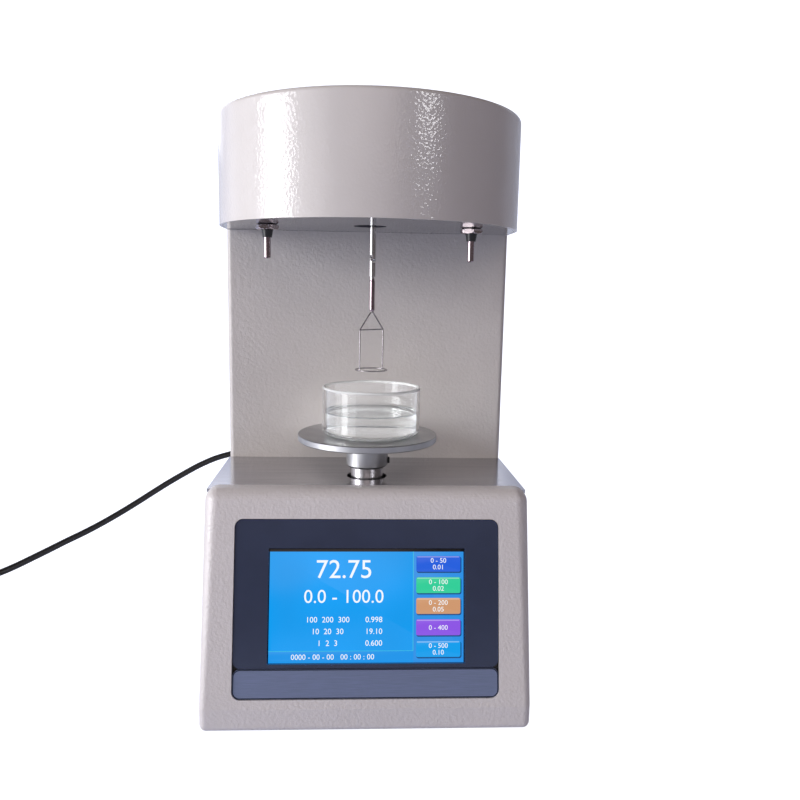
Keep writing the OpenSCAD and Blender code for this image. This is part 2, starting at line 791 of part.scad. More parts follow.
// Appliance inlet: flange on the panel, body behind it, three flat pins.
module inlet_socket() {
  face = panel_y + panel_t + 2;
  color(dark) difference() {
    union() {
      on_rear(inlet_x, inlet_z, face) plate(50, 23, 5, 1.95);
      on_rear(inlet_x, inlet_z, face) plate(27.8, 20.3, 1.8, 24);
    }
    on_rear(inlet_x, inlet_z, face + 1) plate(24.6, 16.6, 2.4, 17.5);
    for (s = [-1, 1]) on_rear(inlet_x + s * 20, inlet_z, face + 1) cylinder(d = 3.4, h = 6);
  }
  color(steel) for (p = [[-7, -2], [0, 2.5], [7, -2]])
    on_rear(inlet_x + p[0], inlet_z + p[1], face - 4) translate([-1, -2, 0]) cube([2, 4, 13]);
}

module switch_body() {
  face = panel_y + panel_t + 1.5;
  color(dark) difference() {
    union() {
      on_rear(switch_x, inlet_z, face) plate(21, 15, 1.5, 1.45);
      on_rear(switch_x, inlet_z, face) plate(19, 12.8, 0.6, 20);
    }
    on_rear(switch_x, inlet_z, face + 1) plate(15.6, 11.2, 0.5, 11);
    on_rear(switch_x, inlet_z, panel_y) rotate([0, 90, 0]) cylinder(r = 1.05, h = 18, center = true);
  }
}

// Rocker that turns about its own cross pin; its raised end is the rearmost point.
module rocker() {
  color(dark) translate([switch_x, panel_y, inlet_z]) {
    rotate([rocker_lean, 0, 0]) translate([-7.6, 0, 0]) rotate([90, 0, 90]) linear_extrude(15.2)
      polygon([[-4, -2.2], [2.6, -rocker_half - 0.2], [rocker_out, -rocker_half],
               [rocker_out - 0.8, 0], [rocker_out, rocker_half], [2.6, rocker_half + 0.2], [-4, 2.2]]);
    rotate([0, 90, 0]) cylinder(r = 1, h = 17.4, center = true);
  }
}

// ---------------------------------------------------------------- mains lead

module mains_connector() {
  face = panel_y + panel_t + 2;
  color(dark) difference() {
    union() {
      on_rear(inlet_x, inlet_z, face + 0.4) plate(23.8, 15.8, 2, 14);
      hull() {
        on_rear(inlet_x, inlet_z, face + 0.6) plate(27.4, 19.4, 3, 0.2);
        on_rear(inlet_x, inlet_z, face + 22) plate(26, 18, 4, 0.2);
        on_rear(inlet_x, inlet_z, face + 31) plate(15, 13, 5, 0.2);
      }
      on_rear(inlet_x, inlet_z, face + 31.5) cylinder(r = 5.6, h = 2);
      on_rear(inlet_x, inlet_z, lead_y) cylinder(r1 = cord_r + 0.9, r2 = 5.4, h = lead_y - face - 30);
    }
    for (p = [[-7, -2], [0, 2.5], [7, -2]])
      on_rear(inlet_x + p[0], inlet_z + p[1], face + 1) translate([-1.2, -2.2, 0]) cube([2.4, 4.4, 20]);
  }
}

// The coil's radius and height after some turns: in, up a layer in the half
// turn about its middle, and out again; the last of it climbs to the plug.
function coil_radius(t) = coil_r_in + coil_pitch * abs(t - coil_mid);
function coil_height(t) = t < coil_mid + 0.25
  ? cord_r + coil_pitch * min(1, max(0, 2 * (t - coil_mid + 0.25)))
  : coil_z2 + (plug_z - coil_z2) * ease((t - coil_turns + 0.4) / 0.4);
function ease(x) = x <= 0 ? 0 : x * x * (3 - 2 * x);
function coil_point(t) =
  let (a = coil_a0 - 360 * t, r = coil_radius(t))
  [coil_c[0] + r * cos(a), coil_c[1] + r * sin(a), coil_height(t)];
coil_dir = [sin(coil_a0), -cos(coil_a0), 0];
coil_entry = coil_point(0) - cord_d * coil_dir;
coil_steps = round(coil_turns * coil_rings);
coil_path = concat(
  [coil_entry],
  [for (i = [0:coil_steps]) coil_point(coil_turns * i / coil_steps)],
  [[plug_xy[0], plug_xy[1], plug_z]]
);
run_path = concat(lead_route, [coil_entry - 0.5 * coil_dir]);

function add(v, i = 0) = i >= len(v) ? 0 : v[i] + add(v, i + 1);
function path_len(p) = add([for (i = [1:len(p) - 1]) norm(p[i] - p[i - 1])]);
// least distance between stretches of the coil more than half a turn apart
coil_self = min([
  for (i = [0:2:len(coil_path) - 1]) for (j = [i + coil_rings / 2 + 1:1:len(coil_path) - 1])
    norm(coil_path[i] - coil_path[j])
]) - cord_d;
echo(coil_gap = coil_self, run_length = path_len(run_path), coil_length = path_len(coil_path));  // cord_coil

module cord_run() {
  color(dark) tube(run_path, cord_r, 10);
}

module cord_coil() {
  color(dark) tube(coil_path, cord_r, 6);
}

// Three-blade plug that lies on the table.
module mains_plug() {
  color(dark) translate([plug_xy[0], plug_xy[1] + 0.05, plug_z]) rotate([-90, 0, 0]) {
    cylinder(r1 = cord_r + 0.9, r2 = 6, h = 26);
    hull() {
      translate([0, 0, 25]) plate(15, 15, 7, 0.2);
      translate([0, 0, 38]) plate(28, 26, 8, 0.2);
      translate([0, 0, 52]) plate(33, 2 * plug_z - 0.2, 8, 0.2);
      translate([0, 0, 57]) plate(32, 28, 8, 0.2);
    }
  }
  color(steel) translate([plug_xy[0], plug_xy[1] + 57, plug_z]) rotate([-90, 0, 0]) {
    for (s = [-1, 1]) translate([s * 6.9, -4, 0]) rotate(s * 30) translate([-0.8, -3.2, 0]) cube([1.6, 6.4, 18]);
    translate([-0.8, 4.4, 0]) cube([1.6, 6.4, 20]);
  }
}

// ---------------------------------------------------------------- nodes

front_shell();
deck_plate();
column_shell();
head_shell();
head_floor();
rear_panel();
base_pan();
foot_front_left();
foot_front_right();
foot_rear_left();
foot_rear_right();
panel_frame();
display_bezel();
touch_screen();
display_module();
display_board();
name_plate();
post_pins();
post_bushes();
post_nuts();
balance_base();
pivot_frame();
pivot_pin();
balance_beam();
coil_bobbin();
coil_winding();
magnet_pot();
magnet_core();
counterweight();
position_sensor();
hanger_pin();
hanger_rod();
hook_pin();
ring_holder();
stirrup();
ring();
lift_motor();
motor_bracket();
lead_screw();
lift_nut();
lift_stem();
stem_bush();
bush_plate();
guide_rod();
guide_arm();
tray_hub();
hub_screw();
tray();
dish();
main_board();
power_supply();
inlet_socket();
switch_body();
rocker();
case_screws();
mains_connector();
cord_run();
cord_coil();
mains_plug();
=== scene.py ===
"""Looks of a ring-method surface tensiometer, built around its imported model."""
import math

import bmesh
import bpy
from mathutils import Matrix, Vector


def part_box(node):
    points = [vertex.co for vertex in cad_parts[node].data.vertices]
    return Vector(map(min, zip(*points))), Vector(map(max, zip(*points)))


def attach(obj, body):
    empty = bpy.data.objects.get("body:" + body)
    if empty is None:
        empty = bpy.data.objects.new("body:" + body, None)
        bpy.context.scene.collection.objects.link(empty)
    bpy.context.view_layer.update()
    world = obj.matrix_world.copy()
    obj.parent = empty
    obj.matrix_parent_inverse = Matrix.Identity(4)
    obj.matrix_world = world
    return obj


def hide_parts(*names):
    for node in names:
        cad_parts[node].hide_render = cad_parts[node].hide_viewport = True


bl_info = {
    "name": "Surface tensiometer",
    "version": (1, 0, 0),
    "blender": (4, 5, 0),
    "location": "3D View > Sidebar > Tensiometer",
    "description": "Dresses a benchtop surface tensiometer in real materials",
    "category": "Object",
}

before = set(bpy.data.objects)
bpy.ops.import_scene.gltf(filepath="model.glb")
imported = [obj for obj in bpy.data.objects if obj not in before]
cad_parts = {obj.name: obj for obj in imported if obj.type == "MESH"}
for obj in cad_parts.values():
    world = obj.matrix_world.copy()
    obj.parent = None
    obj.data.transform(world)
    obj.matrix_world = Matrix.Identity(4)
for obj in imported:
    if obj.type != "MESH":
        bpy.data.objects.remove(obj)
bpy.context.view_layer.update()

MM = 0.001

# The mains lead's free run, from its connector's sleeve down to the table, in millimetres.
LEAD_ROUTE = [
    (-55, 185, 100), (-55, 191, 100), (-58.5, 203.5, 99.8), (-68, 212.5, 99.2),
    (-82, 215.5, 98), (-98, 215.5, 96.2), (-114, 214, 93.6), (-129, 212, 90.4),
    (-143, 210, 86.4), (-158, 207, 80), (-173, 203, 72), (-188, 198, 63.5),
    (-202, 192, 55), (-216, 185, 46.6), (-229.5, 178, 39), (-242.5, 170, 32.4),
    (-255, 162, 26.8), (-267.5, 154, 21.8), (-279, 146, 17), (-291, 138.5, 12),
    (-302.5, 131, 7.4), (-313, 123, 4.2), (-323, 113, 3), (-333, 102.5, 2.8),
    (-341, 93.5, 2.75),
]
# The lead's length in metres, and the coil on the table in millimetres, degrees and turns.
COIL_CENTRE = (-380, 114)
COIL_START = -50
COIL_TURNS = 7 + 130 / 360
COIL_INNER = 20.5
COIL_PITCH = 5.95
# Turns in which the lead climbs to its upper layer, and at the end to the plug.
COIL_CLIMB = 0.5
COIL_LIFT = 0.4
PLUG_HEIGHT = 15

# The console's face leans back from its lower bend. The screen's middle lies SCREEN_S mm
# up the slope, and its glass SCREEN_OUT mm out of it.
FACE_FOOT = Vector((0, -130, 24)) * MM
FACE_TILT = math.radians(13)
SCREEN_S = 56
SCREEN_OUT = -3.6

# The middle of the appliance inlet on the back.
INLET = Vector((-55, 128.5, 100)) * MM

# The ring's stem steps in at this part of its height. Its wire's radius is in millimetres.
STEM_STEP = 0.594
WIRE_RADIUS = 0.4


# ------------------------------------------------------------------ helpers

def srgb(code):
    """An sRGB hex colour such as '#c8c4be' as linear red, green and blue."""
    parts = [int(code[i:i + 2], 16) / 255 for i in (1, 3, 5)]
    return [c / 12.92 if c <= 0.04045 else ((c + 0.055) / 1.055) ** 2.4 for c in parts]


def rgba(colour):
    """Four shader numbers from a hex colour or from linear red, green and blue."""
    return (*(srgb(colour) if isinstance(colour, str) else colour)[:3], 1.0)


def shaded(colour, share):
    """A linear colour made darker, or lighter where share is over one."""
    return [min(1.0, share * c) for c in colour[:3]]


def add_node(tree, kind, attributes=None, inputs=None):
    """Adds a shader node, sets its attributes, and sets or links its inputs."""
    made = tree.nodes.new(kind)
    for name, value in (attributes or {}).items():
        setattr(made, name, value)
    for name, value in (inputs or {}).items():
        if isinstance(value, bpy.types.NodeSocket):
            tree.links.new(value, made.inputs[name])
        else:
            made.inputs[name].default_value = value
    return made


def new_material(name, inputs):
    """A material with one Principled shader; returns it, its tree and the shader."""
    material = bpy.data.materials.new(name)
    material.use_nodes = True
    tree = material.node_tree
    tree.nodes.clear()
    shader = add_node(tree, "ShaderNodeBsdfPrincipled", inputs=inputs)
    add_node(tree, "ShaderNodeOutputMaterial", inputs={"Surface": shader.outputs["BSDF"]})
    return material, tree, shader


def grain(tree, size_mm, detail=2.0, stretch=(1, 1, 1)):
    """Noise whose features are about size_mm across, in the object's own space."""
    place = add_node(tree, "ShaderNodeTexCoord").outputs["Object"]
    scaled = add_node(tree, "ShaderNodeMapping", inputs={"Vector": place, "Scale": stretch})
    noise = add_node(tree, "ShaderNodeTexNoise", inputs={
        "Vector": scaled.outputs["Vector"], "Scale": 1 / (size_mm * MM), "Detail": detail})
    return noise.outputs["Fac"]


def bowls(tree, size_mm):
    """Shallow round bowls about size_mm across that touch one another."""
    place = add_node(tree, "ShaderNodeTexCoord").outputs["Object"]
    cells = add_node(tree, "ShaderNodeTexVoronoi", {"feature": "SMOOTH_F1"}, {
        "Vector": place, "Scale": 1 / (size_mm * MM), "Smoothness": 0.25})
    return add_node(tree, "ShaderNodeMath", {"operation": "POWER"}, {
        0: cells.outputs["Distance"], 1: 2.0}).outputs[0]


def emboss(tree, shader, height, depth_mm, strength=1.0, layers=("Normal", "Coat Normal")):
    """Raises the surface by a height pattern, with the depth in millimetres."""
    bump = add_node(tree, "ShaderNodeBump", inputs={
        "Height": height, "Distance": depth_mm * MM, "Strength": strength})
    for layer in layers:
        tree.links.new(bump.outputs["Normal"], shader.inputs[layer])


def pass_light(tree, shader):
    """Lets lamps shine through a clear piece, so what lies under it stays lit."""
    output = next(node for node in tree.nodes if node.type == "OUTPUT_MATERIAL")
    path = add_node(tree, "ShaderNodeLightPath")
    open_way = add_node(tree, "ShaderNodeBsdfTransparent", inputs={"Color": (0.94, 0.95, 0.95, 1)})
    mix = add_node(tree, "ShaderNodeMixShader", inputs={0: path.outputs["Is Shadow Ray"]})
    tree.links.new(shader.outputs["BSDF"], mix.inputs[1])
    tree.links.new(open_way.outputs["BSDF"], mix.inputs[2])
    tree.links.new(mix.outputs["Shader"], output.inputs["Surface"])


def vary_colour(tree, shader, pattern, first, second, low=0.35, high=0.65, socket="Base Color"):
    """Blends two near colours by a pattern, so the surface isn't one flat tone."""
    ramp = add_node(tree, "ShaderNodeMapRange", inputs={
        "Value": pattern, "From Min": low, "From Max": high})
    mix = add_node(tree, "ShaderNodeMix", {"data_type": "RGBA"}, {"Factor": ramp.outputs["Result"]})
    mix.inputs["A"].default_value = rgba(first)
    mix.inputs["B"].default_value = rgba(second)
    tree.links.new(mix.outputs["Result"], shader.inputs[socket])


def vary_roughness(tree, shader, pattern, low, high):
    """Lets a pattern shift the gloss between two values."""
    ramp = add_node(tree, "ShaderNodeMapRange", inputs={
        "Value": pattern, "From Min": 0.35, "From Max": 0.65, "To Min": low, "To Max": high})
    tree.links.new(ramp.outputs["Result"], shader.inputs["Roughness"])


def dress(names, material):
    """Gives CAD nodes their finish."""
    for name in names:
        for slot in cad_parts[name].material_slots:
            slot.material = material


def make_object(name, mesh, material, body, soften=35):
    """Links a mesh as a piece that rides on a body."""
    mesh.materials.append(material)
    mesh.shade_smooth()
    mesh.set_sharp_from_angle(angle=math.radians(soften))
    piece = bpy.data.objects.new(name, mesh)
    bpy.context.scene.collection.objects.link(piece)
    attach(piece, body)
    return piece


def make_piece(name, shape, material, body, soften=35):
    """A piece from a shape, which is its points and faces."""
    return make_object(name, mesh_from(name, *shape), material, body, soften)


def mesh_from(name, points, faces):
    """A mesh whose faces all look outwards."""
    mesh = bpy.data.meshes.new(name)
    mesh.from_pydata([tuple(p) for p in points], [], faces)
    mesh.validate()
    sheet = bmesh.new()
    sheet.from_mesh(mesh)
    bmesh.ops.recalc_face_normals(sheet, faces=sheet.faces)
    sheet.to_mesh(mesh)
    sheet.free()
    return mesh


def revolve(profile, steps, centre):
    """A closed form about an upright line, from (radius, height) in millimetres."""
    rings = [[centre + Vector((r * math.cos(a), r * math.sin(a), z)) * MM
              for a in (math.tau * k / steps for k in range(steps))] for r, z in profile]
    return skin(rings)


def skin(rings):
    """Faces between rings of equal length, closed at both ends."""
    count = len(rings[0])
    points = [p for ring in rings for p in ring]
    faces = []
    for i in range(len(rings) - 1):
        for k in range(count):
            a, b = i * count + k, i * count + (k + 1) % count
            faces.append((a, b, b + count, a + count))
    faces.append(tuple(reversed(range(count))))
    faces.append(tuple(range((len(rings) - 1) * count, len(rings) * count)))
    return points, faces


def hoop(rings):
    """Faces between rings of equal length, with the last ring joined to the first."""
    count = len(rings[0])
    points = [p for ring in rings for p in ring]
    faces = [(i * count + k, i * count + (k + 1) % count,
              (i + 1) % len(rings) * count + (k + 1) % count, (i + 1) % len(rings) * count + k)
             for i in range(len(rings)) for k in range(count)]
    return points, faces


def joined(shapes):
    """One shape of several."""
    points, faces = [], []
    for more, more_faces in shapes:
        faces += [tuple(i + len(points) for i in face) for face in more_faces]
        points += more
    return points, faces


def superellipse(half_w, half_h, power, steps=40):
    """Outline between an ellipse (power 2) and a rectangle."""
    out = []
    for k in range(steps):
        a = math.tau * k / steps
        c, s = math.cos(a), math.sin(a)
        out.append((math.copysign(abs(c) ** (2 / power), c) * half_w,
                    math.copysign(abs(s) ** (2 / power), s) * half_h))
    return out


def loft_along_y(sections, centre):
    """Skins (y, half width, half height, power) sections about a line along Y."""
    rings = [[centre + Vector((u, y, v)) * MM for u, v in superellipse(w, h, power)]
             for y, w, h, power in sections]
    return skin(rings)


def round_rect(width, height, radius, steps=6):
    """Corner points of a rectangle with round corners, centred."""
    out = []
    for quarter, (sx, sy) in enumerate(((1, 1), (-1, 1), (-1, -1), (1, -1))):
        for k in range(steps + 1):
            a = math.pi / 2 * (quarter + k / steps)
            out.append((sx * (width / 2 - radius) + radius * math.cos(a),
                        sy * (height / 2 - radius) + radius * math.sin(a)))
    return out


def on_face(x, s, out):
    """A point on the console's face: across, up the slope and out of it, in mm."""
    up = Vector((0, math.sin(FACE_TILT), math.cos(FACE_TILT)))
    proud = Vector((0, -math.cos(FACE_TILT), math.sin(FACE_TILT)))
    return FACE_FOOT + (Vector((x, 0, 0)) + s * up + out * proud) * MM


def tile_rings(width, height, radius, x, s, out, thick, edge):
    """Rings of a slab on the face, with its front edge rounded by edge."""
    levels = [(0, out - thick), (0, out - edge), (edge * 0.3, out - edge * 0.3), (edge, out)]
    return [[on_face(x + u, s + v, level) for u, v in
             round_rect(width - 2 * inset, height - 2 * inset, max(radius - inset, 0.05))]
            for inset, level in levels]


def tile(name, size, radius, x, s, out, thick, edge, material):
    """A thin slab of the screen, size wide and high, that lies on the face."""
    shape = skin(tile_rings(*size, radius, x, s, out, thick, edge))
    return make_piece(name, shape, material, "base", 50)


def tube_points(path, radius, steps):
    """Rings round a path that is never upright."""
    rings = []
    for i, p in enumerate(path):
        along = (path[min(i + 1, len(path) - 1)] - path[max(i - 1, 0)]).normalized()
        side = along.cross(Vector((0, 0, 1))).normalized()
        up = side.cross(along)
        rings.append([p + radius * (math.cos(a) * side + math.sin(a) * up)
                      for a in (math.tau * k / steps for k in range(steps))])
    return rings


def smooth_route(points, steps):
    """Curve through given points, with steps points between each two."""
    out = []
    for i in range(len(points) - 1):
        p0, p1 = points[max(i - 1, 0)], points[i]
        p2, p3 = points[i + 1], points[min(i + 2, len(points) - 1)]
        for k in range(steps):
            t = k / steps
            out.append(0.5 * (2 * p1 + (p2 - p0) * t + (2 * p0 - 5 * p1 + 4 * p2 - p3) * t * t
                              + (3 * p1 - p0 - 3 * p2 + p3) * t ** 3))
    return out


# ------------------------------------------------------------------ settings

class CameraSettings(bpy.types.PropertyGroup):
    place: bpy.props.FloatVectorProperty(
        name="Place", description="Where the camera stands", subtype="TRANSLATION", unit="LENGTH",
        default=(-0.00871, -0.52011, 0.25649))
    yaw: bpy.props.FloatProperty(
        name="Yaw", description="Turn to the right of the depth axis", subtype="ANGLE",
        default=math.radians(2.93))
    pitch: bpy.props.FloatProperty(
        name="Pitch", description="Tilt down from level", subtype="ANGLE", default=math.radians(8.84))
    roll: bpy.props.FloatProperty(
        name="Roll", description="Turn about the view axis", subtype="ANGLE",
        default=math.radians(1.03))
    lens: bpy.props.FloatProperty(
        name="Lens", description="Focal length on a 36 mm sensor", subtype="DISTANCE_CAMERA",
        default=34.17)
    shift: bpy.props.FloatVectorProperty(
        name="Shift", description="Picture shift, as parts of its width", size=2,
        default=(0.0101, 0.0038))


class LightSettings(bpy.types.PropertyGroup):
    window: bpy.props.FloatProperty(
        name="Window", description="Power of the window at the left, the main light", unit="POWER",
        default=46.0)
    room: bpy.props.FloatProperty(
        name="Wall", description="Power of the pale wall about the window", unit="POWER",
        default=38.0)
    side: bpy.props.FloatProperty(
        name="Side lamp", description="Power of the lamp behind the left side", unit="POWER",
        default=2.4)
    top: bpy.props.FloatProperty(
        name="Top lamp", description="Power of the lamp above the front", unit="POWER", default=3.6)
    back: bpy.props.FloatProperty(
        name="Back lamp", description="Power of the lamp behind the object", unit="POWER",
        default=4.8)
    right: bpy.props.FloatProperty(
        name="Right lamp", description="Power of the lamp behind the right side", unit="POWER",
        default=2.4)
    glint: bpy.props.FloatProperty(
        name="Glint", description="Power of the small pane that only reflections show", unit="POWER",
        default=6.0)
    card: bpy.props.FloatProperty(
        name="Card", description="Power of the low bright card that only reflections show",
        unit="POWER", default=0.5)
    haze: bpy.props.FloatProperty(
        name="Haze", description="Power of the softer card about it, for reflections too",
        unit="POWER", default=0.65)
    sky: bpy.props.FloatProperty(
        name="Room light", description="Strength of the even light from the room", default=0.138)


class PaintSettings(bpy.types.PropertyGroup):
    ivory: bpy.props.FloatVectorProperty(
        name="Head paint", description="Gloss powder coat of the head", subtype="COLOR",
        default=srgb("#ebe5e2"))
    # Painted light: the head's paint made lighter, for the extra light the console's sloping face gets.
    console: bpy.props.FloatVectorProperty(
        name="Console paint", description="Textured powder coat of the console", subtype="COLOR",
        default=srgb("#f4eeee"))
    # Painted shade: the head's paint made a little darker, for the less light the column gets under the
    # head's overhang.
    grey: bpy.props.FloatVectorProperty(
        name="Column paint", description="Textured powder coat of the column", subtype="COLOR",
        default=srgb("#e2dcd9"))
    peel: bpy.props.FloatProperty(
        name="Orange peel", description="Width of one dimple of the gloss coat, in millimetres",
        default=1.6)
    sand: bpy.props.FloatProperty(
        name="Hammer texture", description="Width of one bump of the textured coat, in millimetres",
        default=1.7)


class ScreenSettings(bpy.types.PropertyGroup):
    blue: bpy.props.FloatVectorProperty(
        name="Screen", description="Lit ground of the display", subtype="COLOR",
        default=srgb("#04a2fa"))
    glow: bpy.props.FloatProperty(
        name="Glow", description="Strength of the backlight", default=0.96)
    film: bpy.props.FloatVectorProperty(
        name="Panel film", description="Printed film about the display", subtype="COLOR",
        default=srgb("#3a4460"))


class LeadSettings(bpy.types.PropertyGroup):
    diameter: bpy.props.FloatProperty(
        name="Lead", description="Diameter of the mains lead", unit="LENGTH", subtype="DISTANCE",
        default=5.5 * MM)


class WaterSettings(bpy.types.PropertyGroup):
    level: bpy.props.FloatProperty(
        name="Water level", description="Height of the water above the table", unit="LENGTH",
        subtype="DISTANCE", default=179.2 * MM)


# ------------------------------------------------------------------ materials

# Pattern sizes are in millimetres, from the real finishes. The real hairlines of ground,
# honed and drawn steel, tool rings, brushing, spark-eroded grain, the film's velvet and the
# coil's wire are only 0.02 to 0.2 mm wide. They wouldn't show in the render, so they are
# drawn 0.3 to 0.6 mm wide.

def powder_coat_gloss():
    """Ivory polyester powder coat, sprayed and baked: its clear top has orange-peel
    dimples that break a lamp's reflection into grains, over a softer base."""
    paint = bpy.context.scene.tensiometer_paint
    material, tree, shader = new_material("powder_coat_gloss", {
        "Roughness": 0.4, "IOR": 1.4, "Coat Weight": 0.8, "Coat Roughness": 0.05})
    vary_colour(tree, shader, grain(tree, 60), paint.ivory, shaded(paint.ivory, 0.96))
    dimples = bowls(tree, paint.peel)
    emboss(tree, shader, dimples, 0.03, layers=("Normal",))
    emboss(tree, shader, dimples, 0.12, layers=("Coat Normal",))
    return material


def powder_coat_sand(name, tone):
    """Textured polyester powder coat of the console and the column: shallow round bumps that each catch a
    soft point of light. Its tone is the head's paint, painted lighter on the console and darker on the
    column for the light each gets."""
    paint = bpy.context.scene.tensiometer_paint
    material, tree, shader = new_material(name, {"Roughness": 0.36, "IOR": 1.5})
    vary_colour(tree, shader, grain(tree, 40), tone, shaded(tone, 0.97))
    emboss(tree, shader, grain(tree, paint.sand), 0.34, 0.9)
    return material


def underside_painted_shade():
    """Stove enamel under the head in a dark grey that is painted shade, for the shadow it lies in: smooth
    enough to mirror the posts.
    """
    material, tree, shader = new_material("underside_painted_shade", {
        "Roughness": 0.12, "IOR": 1.5, "Coat Weight": 0.6, "Coat Roughness": 0.05})
    # Painted shade: the dark grey stands in for the shadow under the head.
    vary_colour(tree, shader, grain(tree, 40), "#656368", "#615f64")
    emboss(tree, shader, grain(tree, 3), 0.02, 0.4)
    return material


def bare_metal(name, marks, tones, roughness):
    """A metal whose wear or tool marks (size, detail and stretch, as grain takes them)
    shift its tone and its gloss."""
    material, tree, shader = new_material(name, {"Metallic": 1.0})
    pattern = grain(tree, *marks)
    vary_colour(tree, shader, pattern, *tones)
    vary_roughness(tree, shader, pattern, *roughness)
    return material


def stainless_mirror():
    """Polished stainless sheet: mirrors the bay, with faint wiping streaks."""
    return bare_metal("stainless_mirror", (4, 3, (0.08, 1, 1)), ("#bcbbbf", "#b3b2b7"), (0.13, 0.2))


def steel_ground():
    """Centreless-ground stainless bar: bright, with hairlines round it."""
    return bare_metal("steel_ground", (0.3, 2, (0.05, 0.05, 1)), ("#cfced0", "#c8c7ca"), (0.17, 0.2))


def steel_honed():
    """The lift's stem, honed along its length: bright, but softer than the ground rods,
    so a lamp shows in it as a wide soft band."""
    return bare_metal("steel_honed", (0.3, 2, (1, 1, 0.05)), ("#cfcdd0", "#c6c4c8"), (0.27, 0.33))


def steel_drawn():
    """Drawn stainless pins: darker than the ground rod, with a faint warm cast, and
    a sharp line of light along them."""
    return bare_metal("steel_drawn", (0.3, 2, (1, 1, 0.05)), ("#b8a8af", "#ad9da4"), (0.12, 0.16))


def steel_stem():
    """The ring's stem: ground and bright above its step, drawn and darker, with a
    warm cast, below it."""
    material, tree, shader = new_material("steel_stem", {"Metallic": 1.0})
    low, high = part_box("ring_holder")
    step = low.z + STEM_STEP * (high.z - low.z)
    place = add_node(tree, "ShaderNodeTexCoord").outputs["Object"]
    height = add_node(tree, "ShaderNodeSeparateXYZ", inputs={"Vector": place}).outputs["Z"]
    vary_colour(tree, shader, height, "#a8979f", "#dad9dc", step - 0.2 * MM, step + 0.2 * MM)
    vary_roughness(tree, shader, grain(tree, 0.3, 2, (1, 1, 0.05)), 0.12, 0.16)
    return material


def nickel_bright():
    """Bright nickel plate on the hexagon nuts: each flat mirrors its own side of the room."""
    return bare_metal("nickel_bright", (4, 2), ("#bfb3b6", "#b2a7aa"), (0.08, 0.14))


def zinc_plate():
    """Bright zinc plate on turned and pressed steel: a cool, slightly cloudy metal."""
    return bare_metal("zinc_plate", (5, 4), ("#c0bfbd", "#aaa9ab"), (0.22, 0.36))


def platinum_wire():
    """Drawn platinum-iridium wire: dull and slightly warm."""
    return bare_metal("platinum_wire", (1.5, 2), ("#a39c9f", "#958f91"), (0.2, 0.28))


def brass_plated():
    """Nickel-plated brass of the plug's blades: bright, faintly warm."""
    return bare_metal("nickel_plated_brass", (2, 2, (1, 0.1, 1)), ("#cbc4b4", "#b9b2a4"), (0.15, 0.28))


def aluminium_turned():
    """Turned aluminium: fine rings about the lift's axis, satin between them."""
    material, tree, shader = new_material("aluminium_turned", {"Metallic": 1.0, "Anisotropic": 0.35})
    place = add_node(tree, "ShaderNodeTexCoord").outputs["Object"]
    low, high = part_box("tray")
    centre = (low + high) / 2
    shifted = add_node(tree, "ShaderNodeMapping", inputs={
        "Vector": place, "Location": (-centre.x, -centre.y, 0), "Scale": (1, 1, 0)})
    rings = add_node(tree, "ShaderNodeTexWave", {
        "wave_type": "RINGS", "rings_direction": "SPHERICAL", "wave_profile": "SIN"}, {
        "Vector": shifted.outputs["Vector"], "Scale": 0.6 / MM, "Distortion": 0.6, "Detail": 2.0})
    vary_colour(tree, shader, grain(tree, 12, 2), "#b5b5b6", "#a8a8ab")
    vary_roughness(tree, shader, rings.outputs["Fac"], 0.3, 0.4)
    emboss(tree, shader, rings.outputs["Fac"], 0.01, 0.3)
    return material


def aluminium_milled():
    """Milled aluminium plate: straight cutter marks in a satin ground."""
    return bare_metal("aluminium_milled", (0.9, 2, (1, 0.06, 1)), ("#bcbcbf", "#acacb0"), (0.3, 0.42))


def brass_turned():
    """Turned brass: a warm yellow metal with hairlines."""
    return bare_metal("brass_turned", (0.8, 2, (1, 0.1, 1)), ("#c8a35a", "#b8924c"), (0.22, 0.34))


def nickel_magnet():
    """Nickel-plated magnet and soft iron: grey with a faint yellow."""
    return bare_metal("nickel_magnet", (7, 3), ("#9d9a93", "#8b8983"), (0.2, 0.34))


def copper_winding():
    """Enamelled copper wire wound in layers: each turn catches its own line of light."""
    material, tree, shader = new_material("copper_winding", {"Metallic": 1.0, "Roughness": 0.25})
    place = add_node(tree, "ShaderNodeTexCoord").outputs["Object"]
    turns = add_node(tree, "ShaderNodeTexWave", {"wave_type": "BANDS", "bands_direction": "Z"}, {
        "Vector": place, "Scale": 0.55 / MM, "Distortion": 0.2})
    vary_colour(tree, shader, turns.outputs["Fac"], "#b8642f", "#8f451b", 0, 1)
    emboss(tree, shader, turns.outputs["Fac"], 0.15)
    return material


def phenolic_former():
    """Machined phenolic sheet of the coil's former: tan, with woven flecks."""
    material, tree, shader = new_material("phenolic_former", {"Roughness": 0.5, "IOR": 1.55})
    vary_colour(tree, shader, grain(tree, 0.8, 4, (1, 0.4, 1)), "#c9b083", "#a98d5e")
    return material


def rubber_moulded(name="rubber_moulded", tone=("#1b1b1c", "#131314")):
    """Moulded black rubber: dull, with a dusty grain."""
    material, tree, shader = new_material(name, {"Roughness": 0.75, "IOR": 1.52})
    dust = grain(tree, 0.7, 3)
    vary_colour(tree, shader, dust, *tone)
    emboss(tree, shader, dust, 0.05, 0.5)
    return material


def abs_black():
    """Injection-moulded black ABS: spark-eroded grain, low gloss."""
    material, tree, shader = new_material("abs_black", {"Roughness": 0.42, "IOR": 1.53})
    vary_colour(tree, shader, grain(tree, 9), "#1d1e20", "#161719")
    emboss(tree, shader, grain(tree, 0.35, 2), 0.03, 0.6)
    return material


def phenolic_black():
    """Turned and polished black phenolic of the posts' collars: a hard, bright gloss."""
    material, tree, shader = new_material("phenolic_black", {"Roughness": 0.22, "IOR": 1.5})
    vary_colour(tree, shader, grain(tree, 2, 2), "#0d0b0c", "#090708")
    return material


